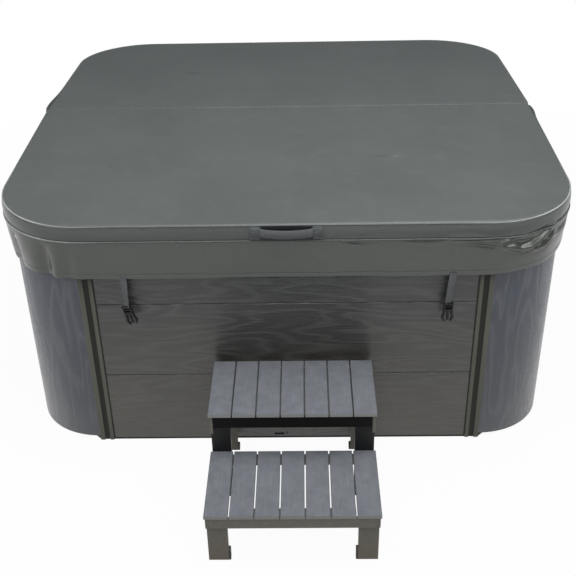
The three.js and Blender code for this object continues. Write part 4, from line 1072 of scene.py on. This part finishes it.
def build_hinge_strip():
    """The folded strip of vinyl that joins the halves along the seam."""
    length, columns, folds = 2.040, 90, 9
    rows, uvs = [], []
    for i in range(columns):
        x = -length / 2 + length * i / (columns - 1)
        row, flat = [], []
        for k in range(folds):
            share = k / (folds - 1)
            y = 0.0036 - 0.0072 * share
            z = ridge_top - 0.0034 - 0.006 * math.sin(math.pi * share) ** 1.5
            z += 0.0006 * noise.noise(Vector((x * 20, share, 2.0)))
            row.append((x, y, z))
            flat.append((x, 0.05 + 0.02 * share))
        rows.append(row)
        uvs.append(flat)
    piece = woven("cover_hinge_strip", rows, uvs)
    outward(piece)
    thickened(piece, 0.001)
    dress(piece, cover_vinyl)
    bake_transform(piece)


# The handle and the lock straps

# The webbing's section, as shares of its width and of its thickness
webbing_section = ((-0.5, -0.2), (-0.46, -0.5), (0.0, -0.56), (0.46, -0.5), (0.5, -0.2), (0.5, 0.2),
                   (0.46, 0.5), (0.0, 0.56), (-0.46, 0.5), (-0.5, 0.2))


def band(name, centres, sideways, width, thick):
    """A flat strip of webbing along a line of centres. sideways is the way across it."""
    rows, uvs = [], []
    sideways = Vector(sideways).normalized()
    length = 0.0
    for i, centre in enumerate(centres):
        centre = Vector(centre)
        before = Vector(centres[max(i - 1, 0)])
        after = Vector(centres[min(i + 1, len(centres) - 1)])
        face = (after - before).normalized().cross(sideways).normalized()
        if i:
            length += (centre - before).length
        row, flat = [], []
        for across, through in webbing_section:
            row.append(centre + sideways * (across * width) + face * (through * thick))
            flat.append((length, (across + 0.5) * width))
        flat.append(flat[0])
        rows.append(row)
        uvs.append(flat)
    piece = woven(name, rows, uvs, wrap=True, caps=True)
    outward(piece)
    soften(piece, 50)
    return dress(piece, webbing)


def stitches(name, lines):
    """Short threads along straight lines. Each line is its start, end and the way out of the face."""
    size, pitch = (0.0035, 0.0009, 0.0007), 0.0055
    pieces = []
    for start, end, out in lines:
        start, end, out = Vector(start), Vector(end), Vector(out)
        count = max(2, round((end - start).length / pitch))
        along = (end - start).normalized()
        side = out.cross(along)
        turn = Matrix((along, side, out)).transposed().to_4x4()
        for i in range(count):
            at = start.lerp(end, (i + 0.5) / count)
            thread = block(size, (0, 0, 0), "thread")
            thread.data.transform(Matrix.Translation(at) @ turn)
            pieces.append(thread)
    piece = join(pieces, name)
    return dress(piece, welt_vinyl)


def build_handle():
    """Webbing handle on the front band: sewn flat at both ends and bowed between them."""
    low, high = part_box("cover_handle")
    middle = (low.x + high.x) / 2
    height = (low.z + high.z) / 2
    back = high.y
    half_length, free_half, bow = 0.122, 0.089, 0.0165
    points = []
    for i in range(61):
        off = -half_length + 2 * half_length * i / 60
        rise = 0.0
        if abs(off) < free_half:
            rise = bow * math.sin(math.pi * (off + free_half) / (2 * free_half)) ** 0.5
        sag = -0.0015 * math.exp(-(off / 0.05) ** 2)
        points.append((middle + off, back - 0.0078 - rise, height + sag))
    piece = band("handle_webbing", points, (0, 0, 1), 0.032, 0.0028)
    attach(piece, "front_half")
    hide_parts("cover_handle")
    # A dark backing patch behind the bowed webbing, which also paints the shade in the gap behind the
    # handle
    backing = [(middle + 0.104 * share, back - 0.0044, height - 0.0035)
               for share in (-1, -0.6, -0.2, 0.2, 0.6, 1)]
    backing_and_shade_patch = dress(band("handle_backing_and_shade", backing, (0, 0, 1), 0.056, 0.0016), backing_and_shade_vinyl)
    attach(backing_and_shade_patch, "front_half")
    for side, name in ((-1, "left"), (1, "right")):
        patch = [(middle + side * (0.0905 + 0.0355 * share), back - 0.0060, height - 0.0020)
                 for share in (0.0, 0.3, 0.6, 1.0)]
        tab = band("handle_tab_" + name, patch, (0, 0, 1), 0.050, 0.0020)
        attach(tab, "front_half")
    face = back - 0.0096
    lines = []
    for side in (-1, 1):
        near, far = middle + side * 0.094, middle + side * 0.119
        bottom, top = height - 0.0125, height + 0.0125
        for start_x, start_z, end_x, end_z in (
                (near, bottom, far, bottom), (near, top, far, top), (near, bottom, near, top),
                (far, bottom, far, top), (near, bottom, far, top), (near, top, far, bottom)):
            lines.append(((start_x, face, start_z), (end_x, face, end_z), (0, -1, 0)))
    threads = stitches("handle_stitches", lines)
    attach(threads, "front_half")


def clip_model():
    """Plug half of a side-release clip, hanging along -Z from its top at the origin."""
    pieces = []
    pieces.append(block((0.036, 0.0086, 0.010), (0, 0, -0.0055), "bar", 0.0018, 3))
    for side in (-1, 1):
        pieces.append(block((0.0062, 0.0088, 0.030), (side * 0.0149, 0, -0.020), "cheek", 0.0016, 3))
    pieces.append(block((0.030, 0.0045, 0.0045), (0, -0.001, -0.0165), "ladder", 0.0012, 2))
    pieces.append(block((0.029, 0.0024, 0.024), (0, 0.0026, -0.020), "back", 0.0006, 2))
    pieces.append(block((0.034, 0.0088, 0.010), (0, 0, -0.0300), "shoulder", 0.0018, 3))
    pieces.append(block((0.0100, 0.0060, 0.040), (0, 0, -0.052), "guide", 0.0016, 3))
    for side in (-1, 1):
        prong = block((0.0085, 0.0080, 0.012), (side * 0.0140, 0, -0.039), "prong")
        for step_x, step_z, size in ((0.0042, -0.016, 1.25), (-0.0046, -0.012, 0.85),
                                     (-0.003, -0.004, 0.5)):
            pick_faces(prong, lambda middle, normal: normal.z < -0.8)
            extrude(side * step_x, 0, step_z)
            bpy.ops.transform.resize(value=(size, 1, 1))
            end_edit()
        pieces.append(eased(prong, 0.0012))
    piece = join(pieces, "clip_model")
    return dress(piece, clip_plastic)


def twist(piece, degrees):
    """Turns a hanging strap about its length, from nothing at the hem to the full turn at 70 mm."""
    full_turn_at = 0.070
    for vertex in piece.data.vertices:
        share = max(0.0, min(1.0, -vertex.co.z / full_turn_at))
        vertex.co = Matrix.Rotation(math.radians(degrees) * share, 3, "Z") @ vertex.co


def build_straps():
    """Four lock straps behind the skirt's hem, each with the plug of its clip."""
    clip = clip_model()
    tucked_in, length, hanging = 0.016, 0.130, 0.114
    half_spread, rightward = 0.582, 0.008
    for place, side, front, lean, tilt, bend, turned in (
        ("front_left", -1, 1, 0.0, 17.0, 0.0035, -38.0),
        ("front_right", 1, 1, 4.5, 4.0, -0.002, 20.0),
        ("rear_left", -1, -1, 0.0, -6.0, 0.002, 12.0),
        ("rear_right", 1, -1, 0.0, 8.0, -0.003, -15.0),
    ):
        hinge_x = side * half_spread + front * rightward
        points = []
        for i in range(25):
            z = tucked_in - length * i / 24
            share = max(0.0, -z / hanging)
            sway = bend * math.sin(share * math.pi)
            points.append((sway, -0.0012 * math.sin(share * math.pi * 1.4), z))
        strap = band("strap_webbing_" + place, points, (1, 0, 0), 0.025, 0.0018)
        tail = band("strap_tail_" + place, [(x + 0.0005, 0.0026, z) for x, y, z in points[16:]],
                    (1, 0, 0), 0.024, 0.0016)
        plug = copy_of(clip, "strap_clip_" + place, Matrix.Translation((points[-1][0], 0, -0.107))
                       @ Matrix.Rotation(math.radians(-tilt), 4, "Y"))
        turn = Matrix.Rotation(0 if front > 0 else math.pi, 4, "Z")
        hang = (Matrix.Translation((hinge_x, -front * strap_hinge_y, strap_hinge_z)) @ turn
                @ Matrix.Rotation(math.radians(lean), 4, "Y"))
        for piece in (strap, tail, plug):
            twist(piece, turned * (0.3 if piece == plug else 1.0))
            piece.data.transform(hang)
            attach(piece, "lock_strap_" + place)
        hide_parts("strap_" + place)
        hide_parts("clip_" + place)
    drop(clip)


# The cabinet

def corner_centre(signs):
    """The place about which a corner of the cabinet is round."""
    return Vector((signs[0] * (tub_half_x - tub_corner), signs[1] * (tub_half_y - tub_corner), 0))


def build_corner_boards():
    """Smooth bent boards at the cabinet's four corners, with their grain upright."""
    thick, lap, ground_gap, figure_shift = 0.008, 0.0047, 0.006, 3.1
    for quarter, (name, signs) in enumerate(corner_signs.items()):
        low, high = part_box("corner_panel_" + name)
        bottom = low.z + ground_gap
        unselect()
        bpy.ops.mesh.primitive_plane_add(size=1, rotation=(math.pi / 2, 0, 0))
        strip = bpy.context.object
        strip.scale = (thick, high.z - bottom, 1)
        strip.location = (tub_corner - thick / 2, -lap, (bottom + high.z) / 2)
        settle(strip, "corner_board_" + name)
        edit_all(strip)
        extrude(0, lap, 0)
        bpy.ops.mesh.spin(steps=36, angle=-math.pi / 2, center=(0, 0, 0), axis=(0, 0, 1))
        extrude(-lap, 0, 0)
        end_edit()
        outward(strip)
        eased(strip, 0.0012, 2, 50, 40)
        layer = strip.data.uv_layers.get("UVMap") or strip.data.uv_layers.new(name="UVMap")
        layer.name = "UVMap"
        for face in strip.data.polygons:
            for corner in face.loop_indices:
                at = strip.data.vertices[strip.data.loops[corner].vertex_index].co
                angle = math.atan2(at.y, at.x)
                layer.data[corner].uv = (angle * tub_corner + quarter * figure_shift, at.z)
        turn = Matrix.Rotation(quarter * math.pi / 2, 4, "Z")
        strip.data.transform(Matrix.Translation(corner_centre(signs)) @ turn)
        dress(strip, corner_boards)
        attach(strip, "tub")
        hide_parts("corner_panel_" + name)


def build_drain():
    """Small drain outlet at the foot of the front panel."""
    frame_x, cap_x, height = -0.036, -0.006, 0.022
    frame_piece = block((0.040, 0.0030, 0.0055), (frame_x, -tub_half_y - 0.0016, height),
                        "drain_frame", 0.0012, 3)
    pick_faces(frame_piece, lambda middle, normal: normal.y < -0.9)
    bpy.ops.mesh.inset(thickness=0.001)
    extrude(0, 0.0014, 0)
    end_edit()
    cap = eased(disc(0.0042, 0.0046, (0, 0, 0), 32, "drain_cap"), 0.0012, 3)
    cap.data.transform(Matrix.Translation((cap_x, -tub_half_y - 0.0024, height))
                       @ Matrix.Rotation(math.pi / 2, 4, "X"))
    dress(frame_piece, dark_plastic)
    dress(cap, fitting_plastic)
    for piece in (frame_piece, cap):
        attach(piece, "tub")


# The acrylic shell

def rounded_plate(x0, x1, y0, y1, radius, z, name, segments=8):
    """A flat face with round corners."""
    unselect()
    bpy.ops.mesh.primitive_plane_add(size=1, location=((x0 + x1) / 2, (y0 + y1) / 2, z))
    piece = bpy.context.object
    piece.scale = (x1 - x0, y1 - y0, 1)
    settle(piece, name)
    edit_all(piece)
    bpy.ops.mesh.bevel(offset=radius, offset_type="OFFSET", segments=segments, affect="VERTICES")
    end_edit()
    return piece


def water_pocket(x0, x1, y0, y1, radius, floor, top, draft, rounding):
    """The space over one seat or well: widest at the top, with a rounded floor."""
    piece = rounded_plate(x0, x1, y0, y1, radius, top, "pocket")
    middle = ((x0 + x1) / 2, (y0 + y1) / 2, 0)
    depth = top - floor
    wide_x, wide_y = x1 - x0, y1 - y0
    lean = (depth - rounding) * draft
    edit_all(piece)
    for fall, inset in ((depth - rounding, lean), (rounding * 0.7, rounding * 0.3),
                        (rounding * 0.3, rounding * 0.7)):
        extrude(0, 0, -fall)
        bpy.ops.transform.resize(
            value=((wide_x - 2 * inset) / wide_x, (wide_y - 2 * inset) / wide_y, 1),
            center_override=middle)
        wide_x -= 2 * inset
        wide_y -= 2 * inset
    end_edit()
    return outward(piece)


def lounger_pocket():
    """The space over the long bed on the left. The bed's line runs from its foot to its head.

    Its points are shares of the basin's half depth, and heights."""
    bed = [(-0.95, 0.375), (-0.72, 0.336), (-0.5, 0.336), (-0.32, 0.37), (-0.15, 0.452), (0.0, 0.43),
           (0.15, 0.37), (0.28, 0.335), (0.42, 0.328), (0.52, 0.34), (0.62, 0.37), (0.8, 0.47), (1, 0.6)]
    left, right = -basin_x, -basin_x * 0.245
    start_height = 0.6
    unselect()
    bpy.ops.mesh.primitive_plane_add(size=1)
    piece = bpy.context.object
    piece.scale = (right - left, 0.05 * basin_y, 1)
    piece.location = ((left + right) / 2, -0.975 * basin_y, start_height)
    settle(piece, "lounger_pocket")
    bpy.ops.object.mode_set(mode="EDIT")
    bpy.ops.mesh.select_mode(type="EDGE")
    bpy.ops.mesh.select_all(action="DESELECT")
    form = bmesh.from_edit_mesh(piece.data)
    for edge in form.edges:
        edge.select_set(all(vertex.co.y > -0.96 * basin_y for vertex in edge.verts))
    bmesh.update_edit_mesh(piece.data)
    bpy.ops.transform.translate(value=(0, 0, bed[0][1] - start_height))
    for (last_share, last_height), (share, height) in zip(bed, bed[1:]):
        extrude(0, (share - last_share) * basin_y, height - last_height)
    bpy.ops.mesh.select_all(action="SELECT")
    extrude(0, 0, 0.3)
    bpy.ops.transform.resize(value=(1, 1, 0), center_override=(0, 0, arm_top + 0.05))
    end_edit()
    outward(piece)
    return bevelled(piece, 0.03, 3, 50)


def build_shell():
    """One moulded skin: the water's space is merged, smoothed, opened at the rim and thickened."""
    ledge_x, ledge_y, lift = 0.935, 0.970, 0.05
    top_x, top_y = basin_top_x, basin_top_y
    pockets = [
        water_pocket(-ledge_x, ledge_x, -ledge_y, ledge_y, 0.19, ledge_height, tub_top + lift,
                     0.05, 0.004),
        water_pocket(-top_x, top_x, -top_y, top_y, 0.18, arm_top, ledge_height + 0.01, 0.165, 0.02),
        lounger_pocket(),
    ]
    # The footwell, then the seats: their sides as shares of the basin's half sizes, and the floor
    seats = [
        (-0.3, 0.545, -0.535, 0.535, 0.130),
        (-0.27, 0.33, 0.485, 1, 0.420),
        (0.39, 1, 0.36, 1, 0.400),
        (0.495, 1, -0.25, 0.27, 0.440),
        (0.39, 1, -1, -0.34, 0.400),
        (-0.27, 0.33, -1, -0.485, 0.520),
    ]
    for x0, x1, y0, y1, floor in seats:
        pockets.append(water_pocket(
            x0 * basin_x, x1 * basin_x, y0 * basin_y, y1 * basin_y, 0.11, floor, arm_top + 0.03,
            0.16, 0.04))
    skin = join(pockets, "shell_basin")
    skin.data.remesh_voxel_size = 0.015
    work_on(skin)
    bpy.ops.object.voxel_remesh()
    modifier = skin.modifiers.new("eased_form", "SMOOTH")
    modifier.factor = 0.5
    modifier.iterations = 7
    apply_all(skin)
    edit_all(skin)
    bpy.ops.mesh.bisect(plane_co=(0, 0, tub_top - 0.003), plane_no=(0, 0, 1), clear_outer=True)
    bpy.ops.mesh.select_all(action="SELECT")
    bpy.ops.mesh.flip_normals()
    end_edit()
    thickened(skin, shell_wall)
    bpy.ops.object.shade_smooth()
    dress(skin, acrylic)
    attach(skin, "tub")
    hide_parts("tub_shell")


def build_rim():
    """The shell's rim: an upright lip, rolled over and carried in to the ledge."""
    half_x, half_y, radius = (size + rim_overhang for size in (tub_half_x, tub_half_y, tub_corner))
    rim = rounded_plate(-half_x, half_x, -half_y, half_y, radius, tub_top - 0.042, "shell_rim", 14)
    edit_all(rim)
    extrude(0, 0, 0.025)
    for inset, rise in ((0.0025, 0.009), (0.0065, 0.006), (0.013, 0.002), (0.061, -0.0002),
                        (0.010, -0.001), (0.007, -0.0028)):
        bpy.ops.mesh.inset(thickness=inset, depth=rise)
    bpy.ops.mesh.delete(type="FACE")
    end_edit()
    pick_faces(rim, lambda middle, normal: abs(normal.z) > 0.9 and middle.z < tub_top - 0.041)
    bpy.ops.mesh.delete(type="FACE")
    end_edit()
    soften(thickened(rim, shell_wall), 40)
    dress(rim, acrylic)
    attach(rim, "tub")


# What is fitted in the shell

def inset_rings(piece, rings):
    """Insets the face in the middle again and again. A ring has its width and its rise."""
    for width, rise in rings:
        pick_faces(piece, lambda middle, normal:
                   normal.z > 0.9 and math.hypot(middle.x, middle.y) < 0.001)
        bpy.ops.mesh.inset(thickness=width, depth=rise)
        end_edit()


def jet_model():
    """A jet's face with its nozzle, looking along +Z from the wall at the origin."""
    piece = disc(0.027, 0.008, (0, 0, 0.0005), 32, "jet_model")
    inset_rings(piece, ((0.0015, 0.0015), (0.0065, -0.0035), (0.002, 0.0), (0.001, 0.0045),
                        (0.0035, 0.001), (0.002, -0.007)))
    eased(piece, 0.0006)
    return dress(piece, fitting_plastic)


def build_jets():
    """The massage jets in the basin's walls. Their places are shares of a wall's half length."""
    model = jet_model()
    slope = (basin_top_x - basin_x) / (ledge_height - arm_top)
    height = arm_top + 0.072
    inset = slope * (ledge_height - height)
    walls = {
        "rear": ((0, 1), (-0.78, -0.62, -0.46, -0.06, 0.12, 0.46, 0.6, 0.74)),
        "front": ((0, -1), (0.46, 0.6, 0.74)),
        "right": ((1, 0), (-0.72, -0.56, -0.08, 0.1, 0.5, 0.66)),
        "left": ((-1, 0), (-0.5, -0.34, -0.18)),
    }
    for wall, ((out_x, out_y), shares) in walls.items():
        facing = Vector((-out_x, -out_y, slope)).to_track_quat("Z", "Y").to_matrix().to_4x4()
        for number, share in enumerate(shares, 1):
            if out_y:
                at = Vector((share * basin_x, out_y * (basin_top_y - inset), height))
            else:
                at = Vector((out_x * (basin_top_x - inset), share * basin_y, height))
            jet = copy_of(model, f"jet_{wall}_{number}", Matrix.Translation(at) @ facing)
            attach(jet, "tub")
    drop(model)


def build_suction_grate():
    """The ribbed suction cover, on the front wall of the footwell."""
    wall_place, wall_slope = (0.0949, -0.3669, 0.215), 0.16
    grate = disc(0.062, 0.008, (0, 0, 0.002), 48, "suction_grate")
    inset_rings(grate, ((0.004, 0.004), (0.007, 0.003), (0.005, -0.004), (0.006, 0.004),
                        (0.005, -0.004), (0.006, 0.005), (0.005, -0.004), (0.006, 0.004)))
    eased(grate, 0.001)
    facing = Vector((0, 1, wall_slope)).to_track_quat("Z", "Y").to_matrix().to_4x4()
    grate.data.transform(Matrix.Translation(wall_place) @ facing)
    dress(grate, fitting_plastic)
    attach(grate, "tub")


def swell(piece, most):
    """Fills a pad out under pressure. No point moves further than most."""
    before = [vertex.co.copy() for vertex in piece.data.vertices]
    last_frame = 20
    cloth = piece.modifiers.new("swell", "CLOTH")
    cloth.settings.use_pressure = True
    cloth.settings.uniform_pressure_force = 4
    cloth.settings.effector_weights.gravity = 0
    cloth.point_cache.frame_start = 1
    cloth.point_cache.frame_end = last_frame
    for number in range(1, last_frame + 1):
        bpy.context.scene.frame_set(number)
    apply_all(piece)
    bpy.context.scene.frame_set(1)
    for vertex, start in zip(piece.data.vertices, before):
        move = vertex.co - start
        if move.length > most:
            vertex.co = start + move.normalized() * most


def headrest_model():
    """A soft headrest with two pressed channels across its face, which looks along -Y."""
    low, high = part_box("pillow_lounger")
    piece = copy_of(nodes["pillow_lounger"], "headrest_model",
                    Matrix.Diagonal((0.975, 0.93, 0.95, 1)) @ Matrix.Translation(-(low + high) / 2))
    outward(piece)
    piece.data.remesh_voxel_size = 0.006
    work_on(piece)
    bpy.ops.object.voxel_remesh()
    swell(piece, 0.004)
    modifier = piece.modifiers.new("smooth_form", "SUBSURF")
    modifier.levels = modifier.render_levels = 1
    apply_all(piece)
    channel_depth, channel_width = 0.0045, 0.0035
    face = [vertex for vertex in piece.data.vertices if vertex.normal.y < -0.2]
    for vertex in face:
        for at in (-0.018, 0.018):
            vertex.co.y += channel_depth * math.exp(-((vertex.co.z - at) / channel_width) ** 2)
    bpy.ops.object.shade_smooth()
    return dress(piece, pillow_skin)


def build_headrests():
    """Three soft headrests, on the rear wall and, turned round, on the front wall."""
    model = headrest_model()
    for name in ("lounger", "rear_corner", "front_corner"):
        node = "pillow_" + name
        low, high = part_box(node)
        middle = (low + high) / 2
        turn = Matrix.Rotation(0 if middle.y > 0 else math.pi, 4, "Z")
        piece = copy_of(model, "headrest_" + name, Matrix.Translation(middle) @ turn)
        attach(piece, "tub")
        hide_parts(node)
    drop(model)


# The base and the steps

def build_base():
    """The base tray, cut back under the cabinet's round corners."""
    tray = copy_of(nodes["base_tray"], "tray", Matrix())
    outward(tray)
    foot_corner = tub_corner - 0.0015
    cutter_size = (0.3, 0.6, 0.012)
    for signs in corner_signs.values():
        cutter = block(cutter_size, (0, 0, 0.003), "cutter")
        out = Vector((*signs, 0)).normalized()
        reach = foot_corner * math.cos(math.pi / 4) + cutter_size[0] / 2
        cutter.data.transform(Matrix.Translation(corner_centre(signs) + out * reach)
                              @ Matrix.Rotation(math.atan2(out.y, out.x), 4, "Z"))
        modifier = tray.modifiers.new("cut", "BOOLEAN")
        modifier.object = cutter
        modifier.operation = "DIFFERENCE"
        modifier.solver = "EXACT"
        apply_all(tray)
        drop(cutter)
    soften(tray, 30)
    dress(tray, tray_plastic)
    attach(tray, "tub")
    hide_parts("base_tray")


def build_bearer():
    """A rail across the steps, under the front ends of the lower slats."""
    size, middle_y, middle_z = (0.4210, 0.0400, 0.0300), -1.6643, 0.1832
    bearer = block(size, (steps_x, middle_y, middle_z), "lower_bearer", 0.002)
    dress(bearer, apron_board)
    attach(bearer, "steps")


# The stage, the light and the camera

def build_stage():
    """A floor that takes the shadow, and that camera and reflections see as white."""
    unselect()
    bpy.ops.mesh.primitive_plane_add(size=60, location=(0, 0, -0.0005))
    floor = bpy.context.object
    floor.name = "floor"
    made, net = finish("white_floor", 0.9)[:2]
    tree = made.node_tree
    tree.nodes.remove(tree.nodes["Principled BSDF"])
    path = net.add("ShaderNodeLightPath").outputs
    seen = net.math("MAXIMUM", path["Is Camera Ray"], path["Is Glossy Ray"])
    seen = net.math("MAXIMUM", seen, path["Is Transmission Ray"])
    own_colour, bounced_colour = (0.9, 0.9, 0.9, 1), (0.20, 0.195, 0.18, 1)
    matt = net.add("ShaderNodeBsdfDiffuse")
    net.feed(matt.inputs["Color"], net.mix(path["Is Diffuse Ray"], own_colour, bounced_colour))
    white = net.add("ShaderNodeEmission")
    blend = net.add("ShaderNodeMixShader")
    x, y = net.split(net.place())[:2]
    square = net.math("ADD", net.math("MULTIPLY", x, x), net.math("MULTIPLY", y, y))
    far = net.ramp(net.math("SQRT", square), 1.5, 3.5, 0.96, 1.0)
    net.feed(blend.inputs[0], net.math("MULTIPLY", seen, far))
    net.feed(blend.inputs[1], matt.outputs[0])
    net.feed(blend.inputs[2], white.outputs[0])
    net.feed(tree.nodes["Material Output"].inputs["Surface"], blend.outputs[0])
    floor.data.materials.append(made)


def lamp(name, place, aim, size, power, colour=(1, 1, 1)):
    light = bpy.data.lights.new(name, "AREA")
    light.shape = "RECTANGLE"
    light.size, light.size_y = size
    light.energy = power
    light.color = colour
    made = bpy.data.objects.new(name, light)
    bpy.context.scene.collection.objects.link(made)
    made.location = place
    made.rotation_euler = (Vector(aim) - Vector(place)).to_track_quat("-Z", "Y").to_euler()


def build_light():
    """A world that looks white but gives only a dim light, a lamp overhead and two long ones."""
    world = bpy.data.worlds.new("studio")
    bpy.context.scene.world = world
    world.use_nodes = True
    net = Net(world.node_tree)
    path = net.add("ShaderNodeLightPath").outputs
    seen = net.math("MAXIMUM", path["Is Camera Ray"], path["Is Transmission Ray"])
    plain = world.node_tree.nodes["Background"]
    plain.inputs["Color"].default_value = (0.95, 0.98, 1.0, 1)
    plain.inputs["Strength"].default_value = 0.19
    white = net.add("ShaderNodeBackground")
    white.inputs["Color"].default_value = (1, 1, 1, 1)
    blend = net.add("ShaderNodeMixShader")
    net.feed(blend.inputs[0], seen)
    net.feed(blend.inputs[1], plain.outputs[0])
    net.feed(blend.inputs[2], white.outputs[0])
    net.feed(world.node_tree.nodes["World Output"].inputs["Surface"], blend.outputs[0])
    lamp("overhead", (0.5, -1.4, 3.9), (0.3, -1.1, 0.6), (3.8, 2.4), 92, (0.98, 1.0, 1.0))
    lamp("strip_right", (3.5, -2.6, 2.9), (0.6, -0.9, 0.85), (3.6, 0.42), 36, (1.0, 0.98, 0.95))
    lamp("strip_left", (-3.8, -1.9, 2.8), (-0.6, -0.9, 0.85), (3.4, 0.42), 48, (1.0, 0.98, 0.95))


def build_camera():
    """The photograph's camera. Its focal length and shift are in pixels of the photograph."""
    yaw, pitch, roll = -0.0212, 0.5590271, -0.0209815
    place = (0.0702124, -4.0174206, 2.4441367)
    picture_width, focal_length, upward_shift = 576, 965.0, 25.6208
    ahead = Vector((math.sin(yaw) * math.cos(pitch), math.cos(yaw) * math.cos(pitch), -math.sin(pitch)))
    right = Vector((math.cos(yaw), -math.sin(yaw), 0))
    up = right.cross(ahead)
    level = right * math.cos(roll) + up * math.sin(roll)
    upright = -right * math.sin(roll) + up * math.cos(roll)
    lens = bpy.data.cameras.new("camera")
    lens.sensor_width = 36
    lens.lens = lens.sensor_width * focal_length / picture_width
    lens.shift_y = upward_shift / picture_width
    made = bpy.data.objects.new("camera", lens)
    bpy.context.scene.collection.objects.link(made)
    turn = Matrix((level, upright, -ahead)).transposed()
    made.matrix_world = Matrix.Translation(place) @ turn.to_4x4()
    bpy.context.scene.camera = made


build_camera()
build_stage()
build_light()
build_cover()
build_hinge_strip()
build_handle()
build_straps()
build_corner_boards()
build_drain()
build_shell()
build_rim()
build_jets()
build_suction_grate()
build_headrests()
build_base()
build_bearer()

bpy.context.scene.view_settings.view_transform = "Standard"
